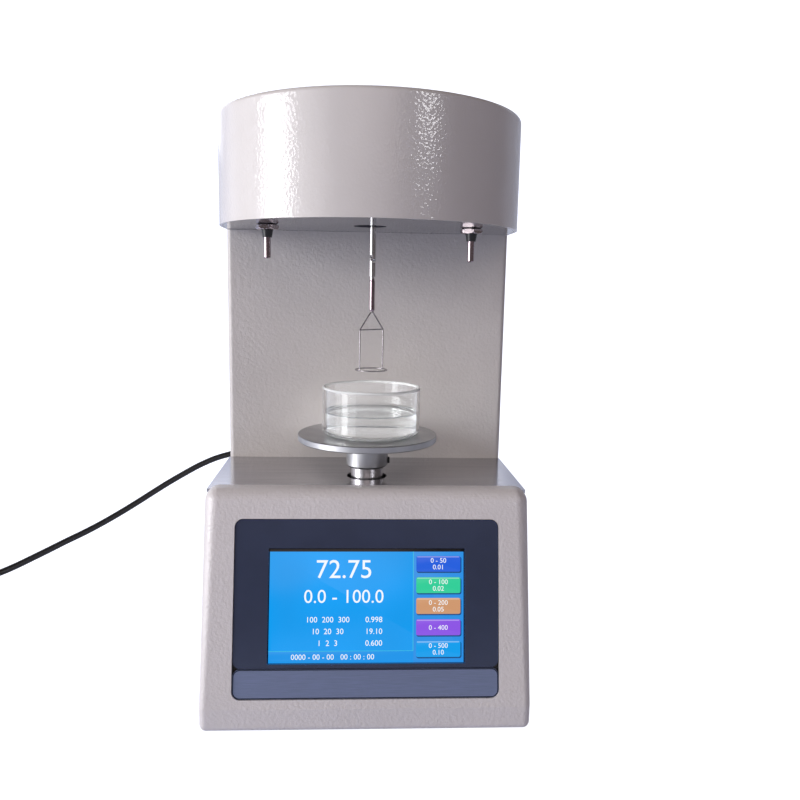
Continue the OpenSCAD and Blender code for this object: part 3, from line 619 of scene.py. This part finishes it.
def pvc_sheath():
    """Extruded black PVC of the lead: soft gloss with faint drag lines."""
    material, tree, shader = new_material("pvc_sheath", {"IOR": 1.53})
    drag = grain(tree, 2.5, 3)
    vary_colour(tree, shader, drag, "#18181b", "#0f0f12")
    vary_roughness(tree, shader, drag, 0.32, 0.46)
    emboss(tree, shader, grain(tree, 0.6, 2), 0.02, 0.5)
    return material


def polycarbonate_film():
    """Back-printed polycarbonate film: deep navy under a fine velvet gloss."""
    screen = bpy.context.scene.tensiometer_screen
    material, tree, shader = new_material("polycarbonate_film", {"Roughness": 0.22, "IOR": 1.58})
    vary_colour(tree, shader, grain(tree, 30), screen.film, shaded(screen.film, 0.88))
    emboss(tree, shader, grain(tree, 0.4, 2), 0.006, 0.5)
    return material


def anodised_plate(name="anodised_plate", tone=("#8b97bb", "#828eac")):
    """Anodised aluminium name plate: brushed along its length, grey blue. Its dyed skin
    hides about half of the metal's shine."""
    material, tree, shader = new_material(name, {"Metallic": 0.55})
    brush = grain(tree, 0.35, 2, (0.03, 1, 1))
    vary_colour(tree, shader, brush, *tone)
    vary_roughness(tree, shader, brush, 0.32, 0.42)
    return material


def solder_mask():
    """Fibreglass circuit board under green solder mask, with paler tracks."""
    material, tree, shader = new_material("solder_mask", {"Roughness": 0.3, "IOR": 1.5})
    vary_colour(tree, shader, grain(tree, 3, 1, (1, 0.2, 1)), "#1d5a33", "#2c7a45", 0.48, 0.52)
    return material


def lit_print(name, colour, glow=None, uneven=False):
    """Backlit liquid-crystal picture under glass: it gives its own light, and the glass
    over it still catches the lamps. Its widest field shows an uneven backlight."""
    screen = bpy.context.scene.tensiometer_screen
    strength = screen.glow if glow is None else glow
    tone = rgba(colour)
    material, tree, shader = new_material(name, {
        "Base Color": (0.01, 0.01, 0.012, 1), "Roughness": 0.2, "IOR": 1.4,
        "Emission Color": tone, "Emission Strength": strength})
    if uneven:
        vary_colour(tree, shader, grain(tree, 40, 1), tone, shaded(tone, 0.9), socket="Emission Color")
    return material


def borosilicate():
    """Pressed borosilicate glass: clear, with a painted reflection along its rim and foot and where its
    edges turn away, where it lets less light through and shows its white colour instead."""
    material, tree, shader = new_material("borosilicate", {
        "Base Color": rgba("#fcfdfd"), "Roughness": 0.0, "IOR": 1.47,
        "Transmission Weight": 1.0})
    # Painted reflection: at grazing angles and in bands at the rim and foot, less light passes through,
    # leaving a matt white that stands in for the room's reflections.
    turned = add_node(tree, "ShaderNodeLayerWeight", inputs={"Blend": 0.5})
    edge = add_node(tree, "ShaderNodeMapRange", inputs={
        "Value": turned.outputs["Facing"], "From Min": 0.72, "From Max": 1.0, "To Min": 1.0,
        "To Max": 0.35})
    place = add_node(tree, "ShaderNodeTexCoord").outputs["Object"]
    height = add_node(tree, "ShaderNodeSeparateXYZ", inputs={"Vector": place}).outputs["Z"]
    foot, top = (corner.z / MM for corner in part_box("dish"))
    clear = edge.outputs["Result"]
    for start, end, least in ((top - 1.5, top - 0.9, 0.3), (foot + 2.2, foot + 1.0, 0.6)):
        band = add_node(tree, "ShaderNodeMapRange", inputs={
            "Value": height, "From Min": start * MM, "From Max": end * MM, "To Min": 1.0,
            "To Max": least})
        clear = add_node(tree, "ShaderNodeMath", {"operation": "MINIMUM"}, {
            0: clear, 1: band.outputs["Result"]}).outputs[0]
    tree.links.new(clear, shader.inputs["Transmission Weight"])
    emboss(tree, shader, grain(tree, 9), 0.05, 0.15)
    pass_light(tree, shader)
    return material


def distilled_water():
    """Still water: a faint ripple only."""
    material, tree, shader = new_material("distilled_water", {
        "Base Color": rgba("#fdfefe"), "Roughness": 0.0, "IOR": 1.333,
        "Transmission Weight": 1.0})
    emboss(tree, shader, grain(tree, 25), 0.04, 0.1)
    pass_light(tree, shader)
    return material


def studio_white(name, seen, mirrored):
    """Matt paper floor and backdrop that reads white behind the object, and
    keeps the object's shadow."""
    material, tree, shader = new_material(name, {
        "Base Color": rgba("#ccd6f2"), "Roughness": 0.9, "Emission Color": (1, 1, 1, 1)})
    path = add_node(tree, "ShaderNodeLightPath")
    clear = add_node(tree, "ShaderNodeMath", {"operation": "MAXIMUM"}, {
        0: path.outputs["Is Camera Ray"], 1: path.outputs["Is Transmission Ray"]})
    direct = add_node(tree, "ShaderNodeMath", {"operation": "MULTIPLY"}, {0: clear.outputs[0], 1: seen})
    lift = add_node(tree, "ShaderNodeMath", {"operation": "MULTIPLY_ADD"}, {
        0: path.outputs["Is Glossy Ray"], 1: mirrored, 2: direct.outputs[0]})
    tree.links.new(lift.outputs[0], shader.inputs["Emission Strength"])
    return material


# ------------------------------------------------------------------ stage

class TENSIOMETER_OT_stage(bpy.types.Operator):
    """Set up camera, soft studio light, floor and backdrop"""
    bl_idname = "tensiometer.stage"
    bl_label = "Stage"

    def execute(self, context):
        self.place_camera(context)
        self.light(context)
        self.floor(context)
        return {"FINISHED"}

    def place_camera(self, context):
        """The photograph's view: place, turn, lens and a small shift."""
        view = context.scene.tensiometer_camera
        forward = Vector((math.sin(view.yaw) * math.cos(view.pitch),
                          math.cos(view.yaw) * math.cos(view.pitch), -math.sin(view.pitch)))
        right = Vector((math.cos(view.yaw), -math.sin(view.yaw), 0))
        up = right.cross(forward)
        across = math.cos(view.roll) * right + math.sin(view.roll) * up
        upward = -math.sin(view.roll) * right + math.cos(view.roll) * up
        turn = Matrix((across, upward, -forward)).transposed().to_4x4()
        data = bpy.data.cameras.new("photo_camera")
        data.lens = view.lens
        data.sensor_width = 36.0
        data.shift_x, data.shift_y = view.shift
        data.clip_start = 0.01
        camera = bpy.data.objects.new("photo_camera", data)
        camera.matrix_world = Matrix.Translation(Vector(view.place)) @ turn
        context.scene.collection.objects.link(camera)
        context.scene.camera = camera

    def light(self, context):
        """A window and its pale wall at the left, soft fill, and panes for the metal."""
        lights = context.scene.tensiometer_lights
        target = Vector((0, -0.02, 0.2))
        # name, place, size, power, colour, if it lights matt surfaces, if reflections show it
        lamps = (
            ("window_lamp", (-2.83, -1.02, 0.7), (1.33, 1.2), lights.window, "#fdfdff", True, True),
            ("wall_lamp", (-3.2, -1.38, 0.7), (4.9, 2.3), lights.room, "#ffffff", True, True),
            ("side_lamp", (-1.69, 0.62, 0.5), (0.9, 0.9), lights.side, "#fdfdff", True, True),
            ("top_lamp", (0.0, -1.75, 0.95), (1.2, 0.8), lights.top, "#fff1ec", True, True),
            ("back_lamp", (-0.35, 1.62, 1.05), (1.8, 0.9), lights.back, "#ffffff", True, True),
            ("right_lamp", (1.0, 1.5, 0.7), (0.8, 0.8), lights.right, "#fff6f2", True, False),
            ("glint_lamp", (1.27, -1.54, 0.97), (0.36, 0.5), lights.glint, "#fdfdff", False, True),
            ("card_lamp", (-0.481, -0.287, 0.155), (0.14, 0.29), lights.card, "#fdfdff", False, True),
            ("haze_lamp", (-0.5, -0.3, 0.155), (0.55, 0.3), lights.haze, "#fdfdff", False, True),
        )
        for name, place, size, power, tone, matt, gloss in lamps:
            data = bpy.data.lights.new(name, "AREA")
            data.shape = "RECTANGLE"
            data.size, data.size_y = size
            data.energy = power
            data.color = srgb(tone)
            lamp = bpy.data.objects.new(name, data)
            lamp.visible_diffuse = matt
            lamp.visible_glossy = gloss
            lamp.location = place
            lamp.rotation_euler = (target - lamp.location).to_track_quat("-Z", "Y").to_euler()
            context.scene.collection.objects.link(lamp)
        world = bpy.data.worlds.new("studio_room")
        context.scene.world = world
        world.use_nodes = True
        tree = world.node_tree
        tree.nodes.clear()
        path = add_node(tree, "ShaderNodeLightPath")
        room = add_node(tree, "ShaderNodeBackground", inputs={
            "Color": rgba("#faebeb"), "Strength": lights.sky})
        white = add_node(tree, "ShaderNodeBackground", inputs={"Color": (1, 1, 1, 1), "Strength": 1.0})
        clear = add_node(tree, "ShaderNodeMath", {"operation": "MAXIMUM"}, {
            0: path.outputs["Is Camera Ray"], 1: path.outputs["Is Transmission Ray"]})
        mix = add_node(tree, "ShaderNodeMixShader", inputs={0: clear.outputs[0]})
        tree.links.new(room.outputs[0], mix.inputs[1])
        tree.links.new(white.outputs[0], mix.inputs[2])
        add_node(tree, "ShaderNodeOutputWorld", inputs={"Surface": mix.outputs[0]})

    def floor(self, context):
        """A flat floor that sweeps up behind the object."""
        reach, rise, bend, steps = 2.2, 2.0, 0.5, 12
        profile = [(-reach, 0.0), (reach - bend, 0.0)]
        profile += [(reach - bend + bend * math.sin(a), bend - bend * math.cos(a))
                    for a in (math.pi / 2 * k / steps for k in range(1, steps + 1))]
        profile.append((reach, rise))
        points = [(x, y, z) for y, z in profile for x in (-2 * reach, 2 * reach)]
        faces = [(2 * i, 2 * i + 1, 2 * i + 3, 2 * i + 2) for i in range(len(profile) - 1)]
        mesh = mesh_from("studio_floor", points, faces)
        mesh.materials.append(studio_white("studio_paper", 0.95, 0.25))
        mesh.shade_smooth()
        floor = bpy.data.objects.new("studio_floor", mesh)
        context.scene.collection.objects.link(floor)


# ------------------------------------------------------------------ mains lead

def coil_path(radius_mm, steps):
    """The coil's centre line: inwards, up one layer, and outwards to the plug."""
    middle = COIL_TURNS / 2
    upper = radius_mm + COIL_PITCH
    count = round(COIL_TURNS * steps)
    points = []
    for i in range(count + 1):
        t = COIL_TURNS * i / count
        r = COIL_INNER + COIL_PITCH * abs(t - middle)
        a = math.radians(COIL_START - 360 * t)
        if t < middle + COIL_CLIMB / 2:
            z = radius_mm + COIL_PITCH * min(1, max(0, (t - middle + COIL_CLIMB / 2) / COIL_CLIMB))
        else:
            x = max(0, (t - COIL_TURNS + COIL_LIFT) / COIL_LIFT)
            z = upper + (PLUG_HEIGHT - upper) * x * x * (3 - 2 * x)
        points.append(Vector((COIL_CENTRE[0] + r * math.cos(a), COIL_CENTRE[1] + r * math.sin(a), z)))
    return points


def sleeve_sections(start, end, r_start, r_end, grooves):
    """A tapered strain relief with flexing grooves, as loft sections."""
    out = []
    pitch = (end - start) / grooves
    for k in range(grooves):
        y = start + k * pitch
        r = r_start + (r_end - r_start) * (k + 0.5) / grooves
        out += [(y + 0.02 * pitch, r, r, 2), (y + 0.6 * pitch, r, r, 2),
                (y + 0.68 * pitch, r - 0.7, r - 0.7, 2), (y + 0.94 * pitch, r - 0.7, r - 0.7, 2)]
    return out


class TENSIOMETER_OT_lead(bpy.types.Operator):
    """Make the mains lead with its connector, plug and tie"""
    bl_idname = "tensiometer.lead"
    bl_label = "Mains lead"

    def execute(self, context):
        sheath = pvc_sheath()
        diameter = context.scene.tensiometer_lead.diameter
        coil = coil_path(diameter / MM / 2, 72)
        entry = coil[0] - diameter / MM * (coil[1] - coil[0]).normalized()
        route = [Vector(p) for p in LEAD_ROUTE] + [entry]
        plug_start = Vector((coil[-1].x, COIL_CENTRE[1] + diameter / MM, PLUG_HEIGHT))
        path = [p * MM for p in smooth_route(route + [coil[0]], 4) + coil + [plug_start]]
        tube = skin(tube_points(path, diameter / 2, 20))
        lead = make_piece("mains_lead", tube, sheath, "base", 60)
        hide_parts("cord_run", "cord_coil")
        connector = self.connector(sheath)
        plug = self.plug(sheath, plug_start)
        blades = self.blades(plug_start)
        tie = self.tie()
        return {"FINISHED"}

    def connector(self, sheath):
        """The moulded connector in the inlet, with its flexing sleeve."""
        sections = [(-13.6, 11.9, 7.9, 5), (0.3, 11.9, 7.9, 5), (0.42, 13.3, 9.3, 5), (0.9, 13.7, 9.7, 5),
                    (14, 13.5, 9.5, 5), (14.3, 13.0, 9.0, 5), (15.4, 13.0, 9.0, 5), (15.7, 13.4, 9.4, 5),
                    (21.5, 13, 9, 4.5), (26, 10.6, 8.2, 3.6), (30.4, 7.6, 6.6, 3), (31.5, 5.7, 5.7, 2)]
        sections += sleeve_sections(32, 56.4, 5.4, 3.65, 9)
        sections.append((56.5, 3.5, 3.5, 2))
        shape = loft_along_y(sections, INLET)
        piece = make_piece("mains_connector_body", shape, sheath, "base")
        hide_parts("mains_connector")
        return piece

    def plug(self, sheath, start):
        """The moulded plug on the coil, with its sleeve."""
        sections = [(0.05, 3.5, 3.5, 2)] + sleeve_sections(0.1, 24.6, 3.65, 6, 9)
        sections += [(25, 7.4, 7.4, 2.4), (31, 10.6, 10.2, 2.8), (38, 14, 13, 3.4), (47, 16, 14.4, 4),
                     (52, 16.5, 14.9, 4.4), (55.5, 16.4, 14.6, 4.4), (56.6, 15.8, 14.0, 4.4),
                     (57, 14.8, 13.0, 4.4)]
        shape = loft_along_y(sections, start * MM)
        piece = make_piece("mains_plug_body", shape, sheath, "base")
        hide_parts("mains_plug")
        return piece

    def blades(self, start):
        """Two slanted blades and the longer earth blade, with eased tips."""
        shapes = []
        for x, z, turn, reach in ((-6.9, 4, -30, 17.9), (6.9, 4, 30, 17.9), (0, -7.6, 0, 19.9)):
            spin = Matrix.Rotation(math.radians(turn), 3, "Y")
            rings = []
            for y, half_t, half_w in ((56.6, 0.8, 3.2), (57 + reach - 1.2, 0.8, 3.2),
                                      (57 + reach, 0.45, 2.6)):
                corners = superellipse(half_t, half_w, 8, 16)
                rings.append([(start + Vector((x, y, z)) + spin @ Vector((u, 0, v))) * MM
                              for u, v in corners])
            shapes.append(skin(rings))
        return make_piece("plug_blades", joined(shapes), brass_plated(), "base")

    def tie(self):
        """Hook-and-loop strap about the coil's strands, at a free place on it."""
        angle = math.radians(62)
        width, height, lift = 31.5, 12.2, 6.55
        out = Vector((math.cos(angle), math.sin(angle), 0))
        along = Vector((-math.sin(angle), math.cos(angle), 0))
        middle = (2 * COIL_INNER + COIL_PITCH * COIL_TURNS / 2) / 2
        rings = []
        for half, grow in ((-5, -0.25), (-4.7, 0.3), (4.7, 0.3), (5, -0.25), (4.7, -0.6), (-4.7, -0.6)):
            rings.append([])
            for u, v in round_rect(width, height, 4.5, 8):
                scale_u, scale_v = (width + 2 * grow) / width, (height + 2 * grow) / height
                place = Vector((*COIL_CENTRE, lift)) + (middle + u * scale_u) * out
                rings[-1].append((place + half * along + Vector((0, 0, v * scale_v))) * MM)
        strap = rubber_moulded("nylon_hook_strap", ("#26262a", "#17171a"))
        return make_piece("lead_tie", hoop(rings), strap, "base")


# ------------------------------------------------------------------ casing

class TENSIOMETER_OT_casing(bpy.types.Operator):
    """Finish the painted casing, the deck, the base and the feet"""
    bl_idname = "tensiometer.casing"
    bl_label = "Casing"

    def execute(self, context):
        paint = context.scene.tensiometer_paint
        dress(["head_shell"], powder_coat_gloss())
        # The console's tone is painted light: the head's paint made lighter for its sloping face.
        dress(["front_shell"], powder_coat_sand("powder_coat_console_painted_light", paint.console))
        # The column's tone is painted shade: the head's paint made a little darker under the head's
        # overhang.
        dress(["column_shell", "rear_panel"], powder_coat_sand("powder_coat_column_painted_shade", paint.grey))
        dress(["head_floor"], underside_painted_shade())
        dress(["deck_plate"], stainless_mirror())
        dress(["base_pan"], zinc_plate())
        dress([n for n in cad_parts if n.startswith("foot_")], rubber_moulded())
        dress(["inlet_socket", "switch_body", "rocker"], abs_black())
        self.screws()
        return {"FINISHED"}

    def screws(self):
        """Pan-head screws with a cross recess, ten of them on the back."""
        low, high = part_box("case_screws")
        back = high.y / MM
        xs = (low.x / MM + 2.8, high.x / MM - 2.8)
        zs = (28, 108, 192, 276, 346)
        points, faces = [], []
        cross = ((0.35, 1.5), (0.35, 0.35), (1.5, 0.35))
        for x in xs:
            for z in zs:
                rings = []
                for r, y in ((2.8, -1.8), (2.8, -1.2), (2.5, -0.6), (1.9, -0.2)):
                    rings.append([Vector((x + r * math.cos(a), back + y, z + r * math.sin(a))) * MM
                                  for a in (math.tau * (k + 0.5) / 32 for k in range(32))])
                base = len(points)
                points += [p for ring in rings for p in ring]
                for i in range(3):
                    for k in range(32):
                        a, b = base + i * 32 + k, base + i * 32 + (k + 1) % 32
                        faces.append((a, b, b + 32, a + 32))
                faces.append(tuple(base + k for k in reversed(range(32))))
                self.recess(points, faces, base + 3 * 32, Vector((x, back - 0.1, z)), cross)
        piece = make_piece("panel_screws", (points, faces), zinc_plate(), "base")
        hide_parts("case_screws")

    def recess(self, points, faces, rim, centre, cross):
        """Closes a screw's rim of 32 points down into a cross-shaped hole."""
        outline = []
        for quarter in range(4):
            turn = Matrix.Rotation(-math.pi / 2 * quarter, 2)
            for u, v in reversed(cross):
                outline.append(turn @ Vector((u, v)))
        outline.sort(key=lambda p: math.atan2(p.y, p.x) % math.tau)
        start = len(points)
        for depth in (0, -0.9):
            for p in outline:
                points.append((centre + Vector((p.x, depth, p.y))) * MM)
        count = len(outline)
        for k in range(count):
            following = (k + 1) % count
            faces.append((start + k, start + following, start + count + following, start + count + k))
        faces.append(tuple(start + count + k for k in range(count)))
        # a fan of faces between the rim and the cross
        for k in range(32):
            near = self.nearest(outline, (k + 0.5) / 32)
            after = self.nearest(outline, (k + 1.5) / 32)
            faces.append((rim + k, rim + (k + 1) % 32, start + near))
            if near != after:
                step = near
                while step != after:
                    faces.append((rim + (k + 1) % 32, start + step, start + (step + 1) % count))
                    step = (step + 1) % count

    def nearest(self, outline, turn):
        """The outline's point that lies closest to a direction, given in turns."""
        angle = math.tau * (turn % 1)
        gaps = [abs((math.atan2(p.y, p.x) - angle + math.pi) % math.tau - math.pi) for p in outline]
        return gaps.index(min(gaps))


# ------------------------------------------------------------------ console

# colour, place up the face, and the plain figures on each button
BUTTONS = (("#1f5fe0", 78.9, ("0 - 50", "0.01")), ("#2ed19a", 66.9, ("0 - 100", "0.02")),
           ("#d29a70", 55.3, ("0 - 200", "0.05")), ("#8e55e8", 43.4, ("0 - 400",)),
           ("#00a0f0", 31.4, ("0 - 500", "0.10")))


class TENSIOMETER_OT_console(bpy.types.Operator):
    """Finish the console's panel and light its screen"""
    bl_idname = "tensiometer.console"
    bl_label = "Console"

    def execute(self, context):
        dress(["display_bezel"], polycarbonate_film())
        dress(["panel_frame", "position_sensor", "hub_screw", "stem_bush", "lift_motor"], abs_black())
        dress(["name_plate"], anodised_plate())
        dress(["display_board", "main_board"], solder_mask())
        self.plate_border()
        self.screen(context)
        return {"FINISHED"}

    def plate_border(self):
        """The name plate's printed dark border; its middle stays bare."""
        rings = []
        for inset, out in ((0.05, -0.85), (0.05, -0.72), (0.6, -0.72), (0.6, -0.85)):
            rings.append([on_face(u, 13.35 + v, out) for u, v in
                          round_rect(148.2 - 2 * inset, 16 - 2 * inset, 3.8 - inset * 0.8, 8)])
        ink = anodised_plate("printed_border", ("#2b3247", "#262c40"))
        make_piece("plate_border", hoop(rings), ink, "base")

    def screen(self, context):
        """The display's glass, its lit fields, buttons and plain figures."""
        screen = context.scene.tensiometer_screen
        ground = lit_print("lcd_ground", screen.blue, uneven=True)
        panel = tile("display_glass", (119, 71), 0.8, 0, SCREEN_S, SCREEN_OUT, 1.5, 0.1,
                     lit_print("lcd_mask", "#10141f", 0.2))
        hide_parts("touch_screen")
        white = lit_print("lcd_white", "#f6fbff", 1.0)
        line = lit_print("lcd_line", "#40c8e0")
        shadow = lit_print("lcd_shadow", "#0a4c86")
        front = SCREEN_OUT + 0.05
        # name, size, place across and up, and material of the picture's fields and rules
        for name, size, x, s, material in (
                ("picture", (109.7, 62), 0, 54.7, ground),
                ("field_right", (28.5, 62), 40.6, 54.7, lit_print("lcd_field_right", "#2a92e8")),
                ("field_low", (81.2, 6.8), -14.2, 27.1, lit_print("lcd_field_low", "#1c98ee")),
                ("rule_right", (0.35, 55.3), 26.2, 58.1, line),
                ("rule_low", (81.2, 0.35), -14.2, 30.5, line)):
            level = SCREEN_OUT + 0.02 if name == "picture" else front - 0.01
            tile(f"screen_{name}", size, 0.1, x, s, level, 0.02, 0.005, material)
        for number, (colour, s, lines) in enumerate(BUTTONS, 1):
            self.button(number, colour, s, lines, front, white, shadow)
        self.write("reading", "72.75", 14.6, -13, 71.0, front, white)
        self.write("range", "0.0 - 100.0", 10.5, -13, 57.2, front, white)
        rows = (("100  200  300", "0.998"), ("10  20  30", "19.10"), ("1  2  3", "0.600"))
        for row, (left, right) in enumerate(rows):
            self.write(f"row_{row}_number", left, 4.4, -22, 46.4 - 6.5 * row, front, white)
            self.write(f"row_{row}_value", right, 4.4, 4, 46.4 - 6.5 * row, front, white)
        self.write("counter", "0000 - 00 - 00   00 : 00 : 00", 4.2, -19, 25.9, front, white)

    def button(self, number, colour, s, lines, front, light_print, shadow):
        """One raised button: its shadow, body, lit edge and figures."""
        body = lit_print(f"lcd_button_{number}", srgb(colour))
        name = f"screen_button_{number}"
        tile(f"{name}_shadow", (25.6, 9.2), 1.2, 40.9, s - 0.6, front, 0.03, 0.01, shadow)
        tile(name, (25.2, 8.9), 1.1, 40.5, s, front + 0.02, 0.03, 0.01, body)
        light = lit_print(f"lcd_button_{number}_edge", [min(1, 0.25 + 0.8 * c) for c in srgb(colour)])
        tile(f"{name}_edge", (24.0, 0.6), 0.25, 40.4, s + 3.9, front + 0.04, 0.03, 0.01, light)
        for row, words in enumerate(lines):
            foot = s - 1.4 if len(lines) == 1 else s + 0.6 - 3.7 * row
            self.write(f"{name}_line_{row}", words, 3.8, 40.5, foot, front + 0.04, light_print)

    def write(self, name, words, size, x, s, out, material):
        """Figures on the face, centred at x with their foot at s, made flat in a font and
        then laid on the slope."""
        curve = bpy.data.curves.new(name, "FONT")
        curve.body = words
        curve.size = size * MM
        curve.align_x = "CENTER"
        curve.extrude = 0.01 * MM
        curve.resolution_u = 4
        text = bpy.data.objects.new(name, curve)
        bpy.context.scene.collection.objects.link(text)
        bpy.context.view_layer.update()
        graph = bpy.context.evaluated_depsgraph_get()
        mesh = bpy.data.meshes.new_from_object(text.evaluated_get(graph))
        bpy.data.objects.remove(text)
        for vertex in mesh.vertices:
            u, v, w = vertex.co / MM
            vertex.co = on_face(x + u, s + v, out + 0.02 + w)
        mesh.materials.clear()
        make_object(f"figures_{name}", mesh, material, "base")


# ------------------------------------------------------------------ mechanism

class TENSIOMETER_OT_mechanism(bpy.types.Operator):
    """Finish the lift, the balance, the posts and the electrics"""
    bl_idname = "tensiometer.mechanism"
    bl_label = "Mechanism"

    def execute(self, context):
        dress(["tray", "tray_hub"], aluminium_turned())
        dress(["balance_base", "pivot_frame", "balance_beam", "bush_plate", "guide_arm"],
              aluminium_milled())
        dress(["lift_stem"], steel_honed())
        dress(["hanger_rod", "hanger_pin", "pivot_pin", "guide_rod", "lead_screw"], steel_ground())
        dress(["hook_pin", "post_pins"], steel_drawn())
        dress(["ring_holder"], steel_stem())
        dress(["post_bushes"], phenolic_black())
        dress(["motor_bracket", "display_module", "power_supply"], zinc_plate())
        dress(["stirrup", "ring"], platinum_wire())
        dress(["lift_nut", "counterweight"], brass_turned())
        dress(["magnet_pot", "magnet_core"], nickel_magnet())
        dress(["coil_winding"], copper_winding())
        dress(["coil_bobbin"], phenolic_former())
        self.ring_joints()
        self.nuts()
        return {"FINISHED"}

    def nuts(self):
        """The posts' nuts, chamfered at both ends, each tightened to its own turn."""
        low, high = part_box("post_pins")
        foot, top = (corner.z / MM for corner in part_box("post_nuts"))
        pin, y = 2, (low.y + high.y) / 2 / MM
        flat, bore, steps = 12 / 2, 4.04, 72
        profile = ((foot - 0.1, 6.0), (foot + 0.15, 6.35), (foot + 0.4, 6.7), (foot + 0.75, 7.0),
                   (top - 0.75, 7.0), (top - 0.45, 6.5), (top - 0.2, 5.9), (top, 5.4))
        shapes = []
        for x, turn in ((low.x / MM + pin, 22), (high.x / MM - pin, 3)):
            rings = []
            for z, limit in profile:
                rings.append([])
                for k in range(steps):
                    a = math.tau * k / steps
                    reach = min(limit, flat / math.cos((a + math.pi / 6) % (math.pi / 3) - math.pi / 6))
                    a += math.radians(turn)
                    rings[-1].append(Vector((x + reach * math.cos(a), y + reach * math.sin(a), z)) * MM)
            for z in (top, foot - 0.1):
                rings.append([Vector((x + bore * math.cos(a), y + bore * math.sin(a), z)) * MM
                              for a in (math.tau * k / steps + math.radians(turn) for k in range(steps))])
            shapes.append(hoop(rings))
        nuts = make_piece("chamfered_nuts", joined(shapes), nickel_bright(), "base", 20)
        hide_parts("post_nuts")

    def ring_joints(self):
        """Brazed fillets where the stirrup's legs meet the ring."""
        low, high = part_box("ring")
        centre = (low + high) / 2
        radius = (high.x - low.x) / 2 - WIRE_RADIUS * MM
        profile = ((0.02, -0.5), (0.4, -0.42), (0.54, -0.12), (0.56, 0.2), (0.5, 0.6), (0.43, 1.05),
                   (0.02, 1.1))
        shapes = []
        for turn in (42, 222):
            a = math.radians(turn)
            foot = centre + Vector((math.cos(a), math.sin(a), 0)) * radius
            shapes.append(revolve(profile, 16, foot))
        make_piece("ring_fillets", joined(shapes), platinum_wire(), "ring_set")


# ------------------------------------------------------------------ dish

class TENSIOMETER_OT_dish(bpy.types.Operator):
    """Fill the glass dish with water"""
    bl_idname = "tensiometer.dish"
    bl_label = "Dish and water"

    def execute(self, context):
        dress(["dish"], borosilicate())
        low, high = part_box("dish")
        centre = (low + high) / 2
        level = context.scene.tensiometer_water.level / MM
        wall, gap, corner = 1.7, 0.03, 1.5
        inner = (high.x - low.x) / 2 / MM - wall - gap
        floor = low.z / MM + wall + gap
        profile = [(0.01, floor), (inner - corner, floor)]
        profile += [(inner - corner + corner * math.sin(a), floor + corner - corner * math.cos(a))
                    for a in (math.pi / 2 * k / 6 for k in range(1, 7))]
        profile += [(inner, level + 1.3), (inner - 0.5, level + 0.7), (inner - 1.3, level + 0.3),
                    (inner - 2.6, level + 0.06), (inner - 4.5, level), (0.01, level)]
        shape = revolve(profile, 128, Vector((centre.x, centre.y, 0)))
        make_piece("water", shape, distilled_water(), "dish")
        return {"FINISHED"}


# ------------------------------------------------------------------ panel

class TENSIOMETER_PT_panel(bpy.types.Panel):
    """Lists the steps that dress the tensiometer"""
    bl_idname = "TENSIOMETER_PT_panel"
    bl_label = "Surface tensiometer"
    bl_space_type = "VIEW_3D"
    bl_region_type = "UI"
    bl_category = "Tensiometer"

    def draw(self, context):
        for step in STEPS:
            self.layout.operator(step.bl_idname)
        for group in ("camera", "lights", "paint", "screen", "lead", "water"):
            settings = getattr(context.scene, f"tensiometer_{group}")
            box = self.layout.box()
            for name in settings.bl_rna.properties.keys():
                if name not in ("rna_type", "name"):
                    box.prop(settings, name)


GROUPS = {
    "tensiometer_camera": CameraSettings,
    "tensiometer_lights": LightSettings,
    "tensiometer_paint": PaintSettings,
    "tensiometer_screen": ScreenSettings,
    "tensiometer_lead": LeadSettings,
    "tensiometer_water": WaterSettings,
}
STEPS = (TENSIOMETER_OT_stage, TENSIOMETER_OT_lead, TENSIOMETER_OT_casing, TENSIOMETER_OT_console,
         TENSIOMETER_OT_mechanism, TENSIOMETER_OT_dish)


def register():
    for cls in (*GROUPS.values(), *STEPS, TENSIOMETER_PT_panel):
        bpy.utils.register_class(cls)
    for name, cls in GROUPS.items():
        setattr(bpy.types.Scene, name, bpy.props.PointerProperty(type=cls))


def unregister():
    for name in GROUPS:
        delattr(bpy.types.Scene, name)
    for cls in (TENSIOMETER_PT_panel, *STEPS, *GROUPS.values()):
        bpy.utils.unregister_class(cls)


def main():
    register()
    bpy.context.scene.view_settings.view_transform = "Standard"
    bpy.ops.tensiometer.stage()
    bpy.ops.tensiometer.lead()
    bpy.ops.tensiometer.casing()
    bpy.ops.tensiometer.console()
    bpy.ops.tensiometer.mechanism()
    bpy.ops.tensiometer.dish()
    bpy.context.view_layer.update()


if __name__ == "__main__":
    main()
